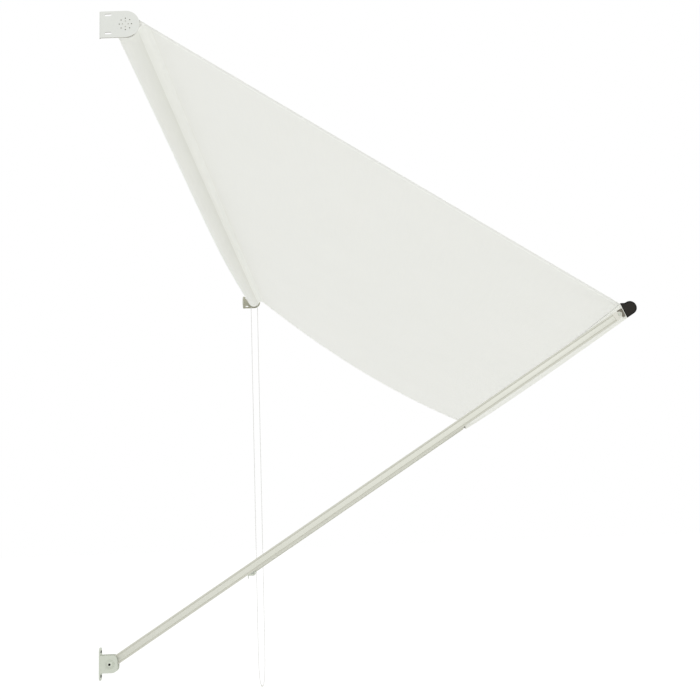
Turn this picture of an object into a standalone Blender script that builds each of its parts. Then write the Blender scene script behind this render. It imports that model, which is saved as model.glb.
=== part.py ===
"""A drop-arm canvas awning, 4 m wide, opened to its full reach.

The frame: +X runs along the roller, +Z is up, and the wall is the plane Y = 0 with the awning on its -Y side.
The origin is the middle of the left top bracket's wall flange, level with the roller's axis.
Sections are written as (out, up): out is the distance from the wall, or along an arm, and up is square to it.
Along the roller, inward is the distance from the outer face of the top bracket at that end.
"""
from math import acos, atan2, cos, hypot, pi, radians, sin, sqrt

import bmesh
import bpy
from mathutils import Matrix, Vector

MM = 0.001

# Overall
OVERALL_WIDTH = 4000 * MM  # over the outer faces of the two top brackets
AXIS_OUT = 75 * MM  # roller axis from the wall
PIVOT_OUT = 29 * MM  # arm pivot from the wall
PIVOT_DROP = 1766 * MM  # arm pivot below the roller axis
ARM_LENGTH = 1650 * MM  # arm pivot to head pin
ARM_ANGLE = radians(32.2)  # arm above the horizontal, awning open
GAP = 0.3 * MM  # between pieces that touch
RUNNING = 0.4 * MM  # between pieces that turn on each other
SHEET = 3 * MM  # steel of all brackets

# Top brackets
PLATE_RIM = 5 * MM  # beyond the cloth left on the roller
FLANGE_WIDTH = 32 * MM
FLANGE_SLOT = (16 * MM, 5.5 * MM)  # length and width
FLANGE_SLOT_UP = 14 * MM
FLANGE_CORNER = 26 * MM  # cut off its free corners
BEND_RADIUS = 3 * MM
SLOT = (20 * MM, 6.5 * MM)
SLOT_OUT = 25.5 * MM
SLOT_LEVELS = (-26.4 * MM, 28.8 * MM)
HOLE_RADIUS = 1.8 * MM
INNER_RING = 8.2 * MM
OUTER_RING = 17.3 * MM

# Roller
TUBE_RADIUS = 29 * MM
TUBE_WALL = 1.2 * MM
KEY_WIDTH = 5 * MM
KEY_DEPTH = 5 * MM
TURNS_THICKNESS = 5.7 * MM  # the cloth turns that stay on the tube
TURNS_RADIUS = TUBE_RADIUS + GAP + TURNS_THICKNESS
PLATE_HEIGHT = 2 * (TURNS_RADIUS + PLATE_RIM)
TUBE_LEFT = 9.3 * MM  # inward from the left end
TUBE_RIGHT = 19.3 * MM  # inward from the right end
KEDER_RADIUS = 1.8 * MM

# Idler, left
IDLER_DISC = (24 * MM, 2.5 * MM)  # radius and thickness
IDLER_AXLE_RADIUS = 6 * MM
IDLER_AXLE_END = 38 * MM
IDLER_FLANGE_RADIUS = TUBE_RADIUS + 2 * MM
PLUG_DEPTH = 36 * MM
PRONG_RADIUS = 1.45 * MM
PRONG_LENGTH = 2.2 * MM

# Clutch, right
BEAD_DIAMETER = 4.5 * MM
BEAD_PITCH = 6 * MM
BEADS_ROUND = 22
PITCH_RADIUS = BEADS_ROUND * BEAD_PITCH / (2 * pi)
CHAIN_INWARD = 9 * MM
WHEEL_WIDTH = 7 * MM
WHEEL_LAND = 1.3 * MM  # rim above the pitch circle
POCKET_RADIUS = 2.9 * MM
HUB_FLANGE = (26 * MM, 1.7 * MM)
SPINDLE_RADIUS = 9 * MM
SPINDLE_END = 43 * MM
SLEEVE_RADIUS = 13 * MM
SLEEVE_END = 40 * MM
SPRING_WIRE = 0.75 * MM
SPRING_TURNS = 5
SPRING_PITCH = 2.4 * MM
GUARD_RADIUS = TUBE_RADIUS + 2 * MM
GUARD_WALL = 2.3 * MM
GUARD_END = 15 * MM
GUARD_MOUTH = (25.5 * MM, 14 * MM)  # half its width, and how far below the axis it starts

# Lower brackets and pivots
EAR_INWARD = 12.5 * MM  # outer face of the outer ear
EAR_HALF = 22.5 * MM  # half its height
EAR_REACH = 19.5 * MM  # beyond the bolt's axis
EAR_CORNER = 14 * MM
WALL_PLATE_HEIGHT = 84 * MM
SCREW_SLOT = (14 * MM, 6.5 * MM)
SCREW_SLOT_UP = 31 * MM
BOLT_RADIUS = 4 * MM
BOLT_HEAD = (7.5 * MM, 4.5 * MM)
SOCKET_RADIUS = 3.4 * MM
SOCKET_DEPTH = 3 * MM
NUT_FLATS = 13 * MM
NUT_HEIGHT = 8 * MM
WASHER_RADIUS = 10.5 * MM
WASHER_THICKNESS = 1.5 * MM
SPACER_RADIUS = 9 * MM
SPACER_THICKNESS = 1.4 * MM

# Arms
ARM_WIDTH = 15 * MM
ARM_DEPTH = 24 * MM
ARM_CORNER = 3.2 * MM
ARM_WALL = 1.8 * MM
ARM_LINE = (2.4 * MM, 1.1 * MM)  # width and depth of the fine grooves along its sides
FOOT_SHOULDER = 15.7 * MM
SPIGOT_LENGTH = 40 * MM
HEAD_SHOULDER = 9 * MM
HEAD_COLLAR = 8 * MM
TONGUE_WIDTH = 7 * MM
TONGUE_RADIUS = 6 * MM
EYE_RADIUS = 7.5 * MM
PIN_RADIUS = 2.9 * MM
PIN_HEAD = (4.5 * MM, 1.2 * MM)
SADDLE_LOW = -11 * MM  # lower and upper end of the hinge block on the bar's back
SADDLE_HIGH = 12.5 * MM
SADDLE_BACK = 1 * MM  # how far its upper part reaches back, from the pin

# Front bar section, from the head pin in the arm's directions
BAR_INWARD = 8 * MM  # outer faces of the end caps
BACK_LOW = (9.3 * MM, -19.9 * MM)
BAR_TIP = (16.4 * MM, 24 * MM)
NOSE_CENTRE = (31.5 * MM, -1.3 * MM)
NOSE_RADIUS = 18.6 * MM
NOSE_END = 92  # degrees, where the nose runs into the neck
NECK_PULL = (-3.85 * MM, -0.19 * MM)  # from the nose's end
NECK_FOOT = (5.2 * MM, -2.9 * MM)  # from the tip
BAR_WALL = 1.8 * MM
GROOVE_CENTRE = (19.7 * MM, 14.4 * MM)
GROOVE_RADIUS = 3.3 * MM
SLIT = 1.7 * MM
TIP_BLUNT = 2.2 * MM
HEM_ROD_RADIUS = GROOVE_RADIUS - RUNNING
CAP_THICKNESS = 3 * MM
CAP_SPIGOT = 16 * MM

# Cloth
CLOTH_LEFT = 14 * MM
CLOTH_RIGHT = 30 * MM
CLOTH_THICKNESS = 0.6 * MM
SAG_LEFT = 1 * MM  # below the straight line from roller to bar, at the two side hems
SAG_RIGHT = 68 * MM
CLOTH_CELLS = (24, 18)  # along the roller and down the slope

# Bead chain, as (out from the roller axis, up from it), from the wheel's back to its front
CHAIN_ROUTE = [
    (-0.0012, 0.0210), (-0.0114, 0.0176), (-0.0189, 0.0093), (-0.0210, 0.0000), (-0.0210, -0.0150),
    (-0.0210, -0.3000), (-0.0210, -0.8000), (-0.0210, -1.4000), (-0.0210, -2.0000), (-0.0206, -2.2600),
    (-0.0190, -2.3600), (-0.0155, -2.4200), (-0.0095, -2.4610), (0.0000, -2.4760), (0.0095, -2.4610),
    (0.0155, -2.4200), (0.0190, -2.3600), (0.0206, -2.2600), (0.0210, -2.0000), (0.0210, -1.4000),
    (0.0210, -0.8000), (0.0210, -0.3000), (0.0210, -0.0150), (0.0210, 0.0000), (0.0189, 0.0093),
    (0.0114, 0.0176), (0.0012, 0.0210),
]
CHAIN_STEPS = 3  # points of the tube in each stretch of the route

LEFT = -FLANGE_WIDTH / 2
RIGHT = LEFT + OVERALL_WIDTH

# Name: base colour (linear), roughness, metallic
FINISHES = {
    "painted_steel": ((0.73, 0.74, 0.69), 0.42, 0.0),
    "bright_steel": ((0.58, 0.58, 0.56), 0.30, 1.0),
    "spring_steel": ((0.30, 0.30, 0.31), 0.35, 1.0),
    "white_plastic": ((0.78, 0.78, 0.74), 0.45, 0.0),
    "grey_plastic": ((0.23, 0.21, 0.18), 0.50, 0.0),
    "black_plastic": ((0.030, 0.026, 0.022), 0.48, 0.0),
    "painted_aluminium": ((0.80, 0.81, 0.77), 0.36, 0.0),
    "canvas": ((0.80, 0.81, 0.76), 0.85, 0.0),
    "bead_chain": ((0.85, 0.85, 0.83), 0.40, 0.0),
}


def clear_scene():
    """Removes every object, so the script can be run again."""
    for thing in list(bpy.data.objects):
        bpy.data.objects.remove(thing, do_unlink=True)


def finish_of(name):
    """Returns the material of that finish, made on first use."""
    found = bpy.data.materials.get(name)
    if found:
        return found
    colour, roughness, metallic = FINISHES[name]
    material = bpy.data.materials.new(name)
    material.use_nodes = True
    shader = material.node_tree.nodes["Principled BSDF"]
    shader.inputs["Base Color"].default_value = (*colour, 1)
    shader.inputs["Roughness"].default_value = roughness
    shader.inputs["Metallic"].default_value = metallic
    return material


def axis_empty(name, place, turn=0.0, parent=None):
    """Adds an empty on a joint's axis, turned about X."""
    empty = bpy.data.objects.new(name, None)
    bpy.context.scene.collection.objects.link(empty)
    empty.parent = parent
    empty.location = place
    empty.rotation_euler = (turn, 0, 0)
    return empty


def piece(name, bm, finish, parent, turn=0.0):
    """Turns a bmesh into a named object with outward faces and its finish."""
    bmesh.ops.remove_doubles(bm, verts=bm.verts, dist=1e-7)
    bmesh.ops.recalc_face_normals(bm, faces=bm.faces)
    mesh = bpy.data.meshes.new(name)
    bm.to_mesh(mesh)
    bm.free()
    mesh.materials.append(finish_of(finish))
    mesh.shade_smooth()
    mesh.set_sharp_from_angle(angle=radians(35))
    made = bpy.data.objects.new(name, mesh)
    bpy.context.scene.collection.objects.link(made)
    made.parent = parent
    made.rotation_euler = (turn, 0, 0)
    return made


def combine(target, tool, operation):
    """Adds a live Boolean of the target with a tool that isn't part of the model."""
    tool.hide_render = True
    tool.display_type = "WIRE"
    step = target.modifiers.new(operation.title() + " " + tool.name, "BOOLEAN")
    step.object = tool
    step.operation = operation
    step.solver = "EXACT"


# Where a section's two numbers and the length go in space


def along_x(out, up, length):
    return Vector((length, -out, up))


def along_out(across, up, length):
    return Vector((across, -length, up))


def along_up(across, out, length):
    return Vector((across, -out, length))


def prism(loops, start, end, place, bm=None):
    """Adds a straight solid to a bmesh: the first loop is its outline and the others are holes through it."""
    bm = bm or bmesh.new()
    rim = []
    for loop in loops:
        corners = [bm.verts.new(place(a, b, start)) for a, b in loop]
        rim += [bm.edges.new(ends) for ends in zip(corners, corners[1:] + corners[:1])]
    filled = bmesh.ops.triangle_fill(bm, use_beauty=True, edges=rim)["geom"]
    face = [part for part in filled if isinstance(part, bmesh.types.BMFace)]
    grown = bmesh.ops.extrude_face_region(bm, geom=face, use_keep_orig=True)["geom"]
    moved = [part for part in grown if isinstance(part, bmesh.types.BMVert)]
    bmesh.ops.translate(bm, verts=moved, vec=place(0, 0, end) - place(0, 0, start))
    return bm


def turned(profile, sides, centre=(0.0, 0.0), bm=None):
    """Adds a solid turned about the X direction through centre. The profile is closed, as (x, radius)."""
    bm = bm or bmesh.new()
    out, up = centre
    points = [bm.verts.new(along_x(out, up + radius, x)) for x, radius in profile]
    edges = [bm.edges.new(ends) for ends in zip(points, points[1:] + points[:1])]
    on_axis = [e for e in edges if all((v.co - along_x(out, up, v.co.x)).length < 1e-9 for v in e.verts)]
    bmesh.ops.delete(bm, geom=on_axis, context="EDGES")
    spun = points + [e for e in edges if e.is_valid]
    bmesh.ops.spin(
        bm, geom=spun, cent=along_x(out, up, 0), axis=(1, 0, 0), angle=2 * pi, steps=sides,
        use_merge=True, use_duplicate=False,
    )
    bmesh.ops.remove_doubles(bm, verts=bm.verts, dist=1e-7)
    return bm


def arc(centre, radius, start, end, steps):
    """Points of an arc in degrees, both ends included."""
    turns = [radians(start + (end - start) * i / steps) for i in range(steps + 1)]
    return [(centre[0] + radius * cos(t), centre[1] + radius * sin(t)) for t in turns]


def circle(centre, radius, sides):
    return arc(centre, radius, 0, 360, sides)[:-1]


def curved(start, pull, end, steps):
    """Points of a curve that leaves start towards pull and reaches end from it, both ends included."""
    shares = [i / steps for i in range(steps + 1)]
    return [tuple((1 - t) ** 2 * a + 2 * t * (1 - t) * b + t * t * c for a, b, c in zip(start, pull, end))
            for t in shares]


def stadium(centre, length, width, steps=6):
    """A slot with round ends, along the section's first direction."""
    straight = (length - width) / 2
    right = arc((centre[0] + straight, centre[1]), width / 2, -90, 90, steps)
    left = arc((centre[0] - straight, centre[1]), width / 2, 90, 270, steps)
    return right + left


def rounded_box(width, height, radius, centre=(0.0, 0.0), steps=4):
    """A rectangle with round corners."""
    across, up = width / 2 - radius, height / 2 - radius
    points = []
    for i, (side, level) in enumerate([(1, -1), (1, 1), (-1, 1), (-1, -1)]):
        middle = (centre[0] + side * across, centre[1] + level * up)
        points += arc(middle, radius, -90 + 90 * i, 90 * i, steps)
    return points


def at(side, inward):
    """The X of a distance inward from that end of the awning."""
    return LEFT + inward if side == "left" else RIGHT - inward


def top_bracket(side, parent):
    """A folded steel plate: round front, the hub's hole pattern, two slots, and a flange against the wall."""
    axis = (AXIS_OUT, 0.0)
    half = PLATE_HEIGHT / 2
    outer = BEND_RADIUS + SHEET
    reach = AXIS_OUT + half + SHEET
    section = arc((outer, outer), outer, 180, 270, 6) + [(FLANGE_WIDTH, 0.0), (FLANGE_WIDTH, SHEET)]
    section += arc((outer, outer), BEND_RADIUS, 270, 180, 5) + [(SHEET, reach), (0.0, reach)]
    section = [(at(side, inward), out) for inward, out in section]
    plate = piece(f"{side}_top_bracket", prism([section], -half - SHEET, half + SHEET, along_up),
                  "painted_steel", parent)
    outline = [(-SHEET, -half)] + arc(axis, half, -90, 90, 28) + [(-SHEET, half)]
    holes = [stadium((SLOT_OUT, level), *SLOT) for level in SLOT_LEVELS]
    for ring, count in ((INNER_RING, 4), (OUTER_RING, 8)):
        for i in range(count):
            turn = 2 * pi * i / count
            holes.append(circle((AXIS_OUT + ring * cos(turn), ring * sin(turn)), HOLE_RADIUS, 10))
    shape = prism([outline] + holes, at(side, -SHEET), at(side, FLANGE_WIDTH + SHEET), along_x)
    combine(plate, piece(f"{side}_plate_shape", shape, "painted_steel", parent), "INTERSECT")
    cutter = bmesh.new()
    for level in (-1, 1):
        slot = stadium((at(side, (outer + FLANGE_WIDTH) / 2), level * FLANGE_SLOT_UP), *FLANGE_SLOT)
        prism([slot], -SHEET, 2 * SHEET, along_out, cutter)
        beyond, rest = 2 * SHEET, -FLANGE_CORNER - 2 * SHEET
        corner = [(FLANGE_WIDTH + rest, half + beyond), (FLANGE_WIDTH + beyond, half + beyond),
                  (FLANGE_WIDTH + beyond, half + rest)]
        prism([[(at(side, x), level * z) for x, z in corner]], -SHEET, 2 * SHEET, along_out, cutter)
    combine(plate, piece(f"{side}_flange_slots", cutter, "painted_steel", parent), "DIFFERENCE")
    return plate


def keyed_circle(radius, key_width, key_floor, sides=40):
    """A circle about the roller axis with a square notch at the top, whose floor is at key_floor."""
    edge = atan2(sqrt(radius**2 - (key_width / 2) ** 2), key_width / 2) * 180 / pi
    points = arc((0.0, 0.0), radius, 180 - edge, edge + 360, sides)
    return [(-key_width / 2, key_floor), *points, (key_width / 2, key_floor)]


def roller_tube(parent):
    """A round tube with a groove that takes the cloth's edge and keys the two plugs."""
    floor = TUBE_RADIUS - KEY_DEPTH
    outer = keyed_circle(TUBE_RADIUS, KEY_WIDTH, floor)
    inner = keyed_circle(TUBE_RADIUS - TUBE_WALL, KEY_WIDTH + 2 * TUBE_WALL, floor - TUBE_WALL)
    return piece(
        "roller_tube", prism([outer, inner], at("left", TUBE_LEFT), at("right", TUBE_RIGHT), along_x),
        "bright_steel", parent,
    )


def plug_outline():
    """The keyed section of a plug that drives the tube."""
    radius = TUBE_RADIUS - TUBE_WALL - RUNNING
    width = KEY_WIDTH + 2 * TUBE_WALL + 2 * RUNNING
    floor = TUBE_RADIUS - KEY_DEPTH - TUBE_WALL - RUNNING
    return keyed_circle(radius, width, floor)


def idler(root, roller):
    """The left bearing: a fixed hub clipped into the bracket, and the plug that turns on it in the tube."""
    disc_radius, disc_thickness = IDLER_DISC
    disc_start = SHEET + GAP
    disc_end = disc_start + disc_thickness
    profile = [(disc_start, 0), (disc_start, disc_radius), (disc_end, disc_radius),
               (disc_end, IDLER_AXLE_RADIUS), (IDLER_AXLE_END, IDLER_AXLE_RADIUS), (IDLER_AXLE_END, 0)]
    hub = turned([(at("left", x), r) for x, r in profile], 32, (AXIS_OUT, 0))
    hub = piece("idler_hub", hub, "white_plastic", root)
    combine(hub, prongs("left", disc_start, root), "UNION")

    bore = circle((0, 0), IDLER_AXLE_RADIUS + RUNNING, 32)
    flange_start = disc_end + RUNNING
    flange_end = TUBE_LEFT - GAP
    flange = prism([circle((0, 0), IDLER_FLANGE_RADIUS, 40), bore],
                   at("left", flange_start), at("left", flange_end), along_x)
    plug = piece("idler_plug", flange, "white_plastic", roller)
    body = prism([plug_outline(), bore], at("left", flange_start), at("left", TUBE_LEFT + PLUG_DEPTH), along_x)
    combine(plug, piece("idler_plug_body", body, "white_plastic", roller), "UNION")


def prongs(side, root_inward, parent):
    """Four pegs that clip a hub into the bracket's inner ring of holes."""
    bm = bmesh.new()
    for i in range(4):
        turn = pi / 2 * i
        middle = (AXIS_OUT + INNER_RING * cos(turn), INNER_RING * sin(turn))
        prism([circle(middle, PRONG_RADIUS, 10)], at(side, root_inward - PRONG_LENGTH),
              at(side, root_inward + PRONG_RADIUS), along_x, bm)
    return piece(f"{side}_prongs", bm, "white_plastic", parent)


def clutch(root, roller):
    """The right bearing: fixed hub and guard, the chain wheel with its sleeve, the spring and the drive plug."""
    flange_radius, flange_thickness = HUB_FLANGE
    start = SHEET + GAP
    flange_end = start + flange_thickness
    profile = [(start, 0), (start, flange_radius), (flange_end, flange_radius),
               (flange_end, SPINDLE_RADIUS), (SPINDLE_END, SPINDLE_RADIUS), (SPINDLE_END, 0)]
    hub = turned([(at("right", x), r) for x, r in profile], 32, (AXIS_OUT, 0))
    hub = piece("clutch_hub", hub, "white_plastic", root)
    combine(hub, prongs("right", start, root), "UNION")

    inner = GUARD_RADIUS - GUARD_WALL
    lip = flange_radius + GAP
    profile = [(start, lip), (start, GUARD_RADIUS), (GUARD_END, GUARD_RADIUS), (GUARD_END, inner),
               (flange_end, inner), (flange_end, lip)]
    guard = turned([(at("right", x), r) for x, r in profile], 40, (AXIS_OUT, 0))
    guard = piece("chain_guard", guard, "white_plastic", root)
    half, drop = GUARD_MOUTH
    mouth = [(AXIS_OUT - half, -2 * GUARD_RADIUS), (AXIS_OUT + half, -2 * GUARD_RADIUS),
             (AXIS_OUT + half, -drop), (AXIS_OUT - half, -drop)]
    mouth = prism([mouth], at("right", 0), at("right", 2 * GUARD_END), along_x)
    combine(guard, piece("guard_mouth", mouth, "white_plastic", root), "DIFFERENCE")

    chain_wheel(roller, flange_end)

    coil_start = CHAIN_INWARD + WHEEL_WIDTH / 2 + 3 * SPRING_WIRE
    radius = SPINDLE_RADIUS + RUNNING + SPRING_WIRE
    coil(radius, coil_start, root)

    bore = circle((0, 0), SLEEVE_RADIUS + GAP, 32)
    flange_start = GUARD_END + 4 * RUNNING
    flange = prism([circle((0, 0), TUBE_RADIUS, 40), bore],
                   at("right", flange_start), at("right", TUBE_RIGHT - GAP), along_x)
    plug = piece("drive_plug", flange, "white_plastic", roller)
    end = TUBE_RIGHT + PLUG_DEPTH
    body = prism([plug_outline(), bore], at("right", flange_start), at("right", end), along_x)
    combine(plug, piece("drive_plug_body", body, "white_plastic", roller), "UNION")


def chain_wheel(roller, hub_face):
    """A grooved wheel with a pocket for each bead, on a sleeve that reaches into the drive plug."""
    start = hub_face + RUNNING
    end = CHAIN_INWARD + WHEEL_WIDTH / 2
    rim = PITCH_RADIUS + WHEEL_LAND
    groove = BEAD_DIAMETER / 2 + RUNNING
    dip = [(CHAIN_INWARD - x, PITCH_RADIUS - y) for x, y in arc((0, 0), groove, 0, 180, 10)]
    bore = SPINDLE_RADIUS + RUNNING
    spring_room = bore + 2 * SPRING_WIRE + RUNNING
    profile = [(start, bore), (start, rim), (CHAIN_INWARD - groove, rim), *dip,
               (CHAIN_INWARD + groove, rim), (end, rim), (end, SLEEVE_RADIUS), (SLEEVE_END, SLEEVE_RADIUS),
               (SLEEVE_END, spring_room), (end, spring_room), (end, bore)]
    wheel = turned([(at("right", x), r) for x, r in profile], 44)
    wheel = piece("chain_wheel", wheel, "white_plastic", roller)
    pockets = bmesh.new()
    for i in range(BEADS_ROUND):
        turn = 2 * pi * (i + 0.5) / BEADS_ROUND
        place = along_x(PITCH_RADIUS * cos(turn), PITCH_RADIUS * sin(turn), at("right", CHAIN_INWARD))
        facing = Matrix.Rotation(-turn, 4, "X")
        bmesh.ops.create_uvsphere(pockets, u_segments=8, v_segments=6, radius=POCKET_RADIUS,
                                  matrix=Matrix.Translation(place) @ facing)
    combine(wheel, piece("bead_pockets", pockets, "white_plastic", roller), "DIFFERENCE")


def coil(radius, start, parent):
    """The wrap spring that brakes the wheel on the spindle: a closed wire wound about the roller axis."""
    steps, sides = 14 * SPRING_TURNS, 6
    bm = bmesh.new()
    rings = []
    for i in range(steps + 1):
        turn = 2 * pi * SPRING_TURNS * i / steps
        inward = start + SPRING_PITCH * SPRING_TURNS * i / steps
        ring = []
        for lift, slip in circle((0, 0), SPRING_WIRE, sides):
            reach = radius + lift
            place = along_x(AXIS_OUT + reach * cos(turn), reach * sin(turn), at("right", inward + slip))
            ring.append(bm.verts.new(place))
        rings.append(ring)
    for ring, after in zip(rings, rings[1:]):
        bmesh.ops.bridge_loops(bm, edges=ring_edges(bm, ring) + ring_edges(bm, after))
    for ring in (rings[0], rings[-1]):
        bm.faces.new(ring)
    return piece("wrap_spring", bm, "spring_steel", parent)


def ring_edges(bm, ring):
    """The edges of a closed ring of points, made where they are missing."""
    pairs = zip(ring, ring[1:] + ring[:1])
    return [bm.edges.get(pair) or bm.edges.new(pair) for pair in pairs]


def lower_bracket(side, parent):
    """A folded U bracket: a wall plate with round ends and slots, and two ears that hold the arm's foot."""
    width = 2 * (SHEET + SPACER_THICKNESS + 2 * GAP) + ARM_WIDTH
    middle = EAR_INWARD + width / 2
    reach = PIVOT_OUT + EAR_REACH + SHEET
    outer, inner = BEND_RADIUS + SHEET / 2, BEND_RADIUS / 2
    left, right = at(side, middle) - width / 2, at(side, middle) + width / 2
    channel = [*arc((left + outer, outer), outer, 180, 270, 4), *arc((right - outer, outer), outer, 270, 360, 4)]
    channel += [(right, reach), (right - SHEET, reach)]
    channel += arc((right - SHEET - inner, SHEET + inner), inner, 360, 270, 3)
    channel += arc((left + SHEET + inner, SHEET + inner), inner, 270, 180, 3)
    channel += [(left + SHEET, reach), (left, reach)]
    bracket = piece(
        f"{side}_lower_bracket", prism([channel], -EAR_HALF - SHEET, EAR_HALF + SHEET, along_up),
        "painted_steel", parent,
    )
    middle_out, middle_up = PIVOT_OUT + EAR_REACH - EAR_CORNER, EAR_HALF - EAR_CORNER
    ear = [(-SHEET, -EAR_HALF)] + arc((middle_out, -middle_up), EAR_CORNER, -90, 0, 9)
    ear += arc((middle_out, middle_up), EAR_CORNER, 0, 90, 9) + [(-SHEET, EAR_HALF)]
    bore = circle((PIVOT_OUT, 0), BOLT_RADIUS + GAP, 20)
    shape = prism([ear, bore], left - SHEET, right + SHEET, along_x)
    combine(bracket, piece(f"{side}_ear_shape", shape, "painted_steel", parent), "INTERSECT")
    plate_outline = rounded_box(width, WALL_PLATE_HEIGHT, width / 2 - MM, (at(side, middle), 0), 6)
    screws = [stadium((at(side, middle), level * SCREW_SLOT_UP), *SCREW_SLOT) for level in (-1, 1)]
    plate = prism([plate_outline] + screws, 0, SHEET, along_out)
    combine(bracket, piece(f"{side}_wall_plate", plate, "painted_steel", parent), "UNION")
    return width


def pivot_hardware(side, parent, bracket_width):
    """The bolt through the ears, its nut, and the washers inside and outside the ears."""
    inner_face = EAR_INWARD + bracket_width
    head_radius, head_height = BOLT_HEAD
    washer_out = EAR_INWARD - GAP - WASHER_THICKNESS
    head_face = washer_out - GAP
    nut_start = inner_face + 2 * GAP + WASHER_THICKNESS
    tip = nut_start + NUT_HEIGHT + 2 * MM
    centre = (PIVOT_OUT, 0)
    profile = [(head_face - head_height, 0), (head_face - head_height, head_radius * 0.75),
               (head_face - head_height * 0.6, head_radius * 0.95), (head_face, head_radius),
               (head_face, BOLT_RADIUS), (tip - MM, BOLT_RADIUS), (tip, BOLT_RADIUS - MM), (tip, 0)]
    bolt = turned([(at(side, x), r) for x, r in profile], 24, centre)
    bolt = piece(f"{side}_pivot_bolt", bolt, "painted_steel", parent)
    socket = prism([circle(centre, SOCKET_RADIUS, 6)], at(side, head_face - 2 * head_height),
                   at(side, head_face - head_height + SOCKET_DEPTH), along_x)
    combine(bolt, piece(f"{side}_hex_socket", socket, "painted_steel", parent), "DIFFERENCE")

    nut_corner = NUT_FLATS / 2 / cos(pi / 6)
    nut = prism([circle(centre, nut_corner, 6), circle(centre, BOLT_RADIUS + GAP, 20)],
                at(side, nut_start), at(side, nut_start + NUT_HEIGHT), along_x)
    piece(f"{side}_pivot_nut", nut, "painted_steel", parent)

    foot = EAR_INWARD + SHEET + SPACER_THICKNESS + 2 * GAP
    for name, start, thickness, radius in (
        ("outer_washer", washer_out, WASHER_THICKNESS, WASHER_RADIUS),
        ("outer_spacer", foot - GAP - SPACER_THICKNESS, SPACER_THICKNESS, SPACER_RADIUS),
        ("inner_spacer", foot + ARM_WIDTH + GAP, SPACER_THICKNESS, SPACER_RADIUS),
        ("inner_washer", inner_face + GAP, WASHER_THICKNESS, WASHER_RADIUS),
    ):
        ring = prism([circle(centre, radius, 28), circle(centre, BOLT_RADIUS + GAP, 20)],
                     at(side, start), at(side, start + thickness), along_x)
        piece(f"{side}_{name}", ring, "painted_steel" if name == "outer_washer" else "bright_steel", parent)


def arm_outline(middle):
    """The arm's outer section: a rectangle with round corners and two fine grooves along each side."""
    width, depth = ARM_LINE
    half, high = ARM_WIDTH / 2, ARM_DEPTH / 2
    line = high - ARM_CORNER - GAP - width / 2
    groove = [(half, line - width / 2), (half - depth, line), (half, line + width / 2)]
    side = arc((half - ARM_CORNER, ARM_CORNER - high), ARM_CORNER, -90, 0, 4)
    side += [(across, -up) for across, up in groove[::-1]] + groove
    side += arc((half - ARM_CORNER, high - ARM_CORNER), ARM_CORNER, 0, 90, 4)
    return [(middle + across, up) for across, up in side + [(-across, -up) for across, up in side]]


def arm(side, parent, bracket_width):
    """An arm in its own directions: a grooved tube, a foot plug with the pivot eye, a head plug with two cheeks."""
    middle = at(side, EAR_INWARD + bracket_width / 2)
    tube_start = FOOT_SHOULDER + GAP
    tube_end = ARM_LENGTH - HEAD_SHOULDER - HEAD_COLLAR - GAP
    outline = rounded_box(ARM_WIDTH, ARM_DEPTH, ARM_CORNER, (middle, 0))
    hollow = rounded_box(ARM_WIDTH - 2 * ARM_WALL, ARM_DEPTH - 2 * ARM_WALL, ARM_CORNER - ARM_WALL, (middle, 0))
    piece(f"{side}_arm_tube", prism([arm_outline(middle), hollow], tube_start, tube_end, along_out),
          "painted_aluminium", parent)

    margin = 2 * (ARM_WALL + GAP)
    spigot = rounded_box(ARM_WIDTH - margin, ARM_DEPTH - margin, ARM_CORNER - margin / 2, (middle, 0))
    near, far = middle - ARM_WIDTH / 2, middle + ARM_WIDTH / 2
    half = ARM_DEPTH / 2
    eye = arc((0, 0), half, 90, 270, 16) + [(FOOT_SHOULDER, -half), (FOOT_SHOULDER, half)]
    bore = circle((0, 0), BOLT_RADIUS + RUNNING, 24)
    foot = piece(f"{side}_arm_foot", prism([eye, bore], near, far, along_x), "white_plastic", parent)
    inside = prism([spigot], half, FOOT_SHOULDER + SPIGOT_LENGTH, along_out)
    combine(foot, piece(f"{side}_foot_spigot", inside, "white_plastic", parent), "UNION")

    collar = prism([outline], ARM_LENGTH - HEAD_SHOULDER - HEAD_COLLAR, ARM_LENGTH - HEAD_SHOULDER, along_out)
    head = piece(f"{side}_arm_head", collar, "white_plastic", parent)
    inside = prism([spigot], tube_end - SPIGOT_LENGTH, ARM_LENGTH - HEAD_SHOULDER - HEAD_COLLAR / 2, along_out)
    combine(head, piece(f"{side}_head_spigot", inside, "white_plastic", parent), "UNION")
    root = ARM_LENGTH - HEAD_SHOULDER - HEAD_COLLAR / 2
    shoulder = ARM_LENGTH - HEAD_SHOULDER
    lean = acos(EYE_RADIUS / hypot(HEAD_SHOULDER, half)) - atan2(HEAD_SHOULDER, half)
    edge = 90 - lean * 180 / pi
    cheek = [(root, half), (root, -half), (shoulder, -half)] + arc((ARM_LENGTH, 0), EYE_RADIUS, -edge, edge, 14)
    cheek += [(shoulder, half)]
    bore = circle((ARM_LENGTH, 0), PIN_RADIUS + RUNNING, 20)
    slot = TONGUE_WIDTH / 2 + GAP + RUNNING
    for name, near, far in (("outer", -ARM_WIDTH / 2, -slot), ("inner", slot, ARM_WIDTH / 2)):
        solid = prism([cheek, bore], middle + near, middle + far, along_x)
        combine(head, piece(f"{side}_{name}_cheek", solid, "white_plastic", parent), "UNION")


def unit(start, end):
    """The unit direction from one section point to another."""
    length = hypot(end[0] - start[0], end[1] - start[1])
    return ((end[0] - start[0]) / length, (end[1] - start[1]) / length)


def moved(point, direction, length):
    return (point[0] + direction[0] * length, point[1] + direction[1] * length)


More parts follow.
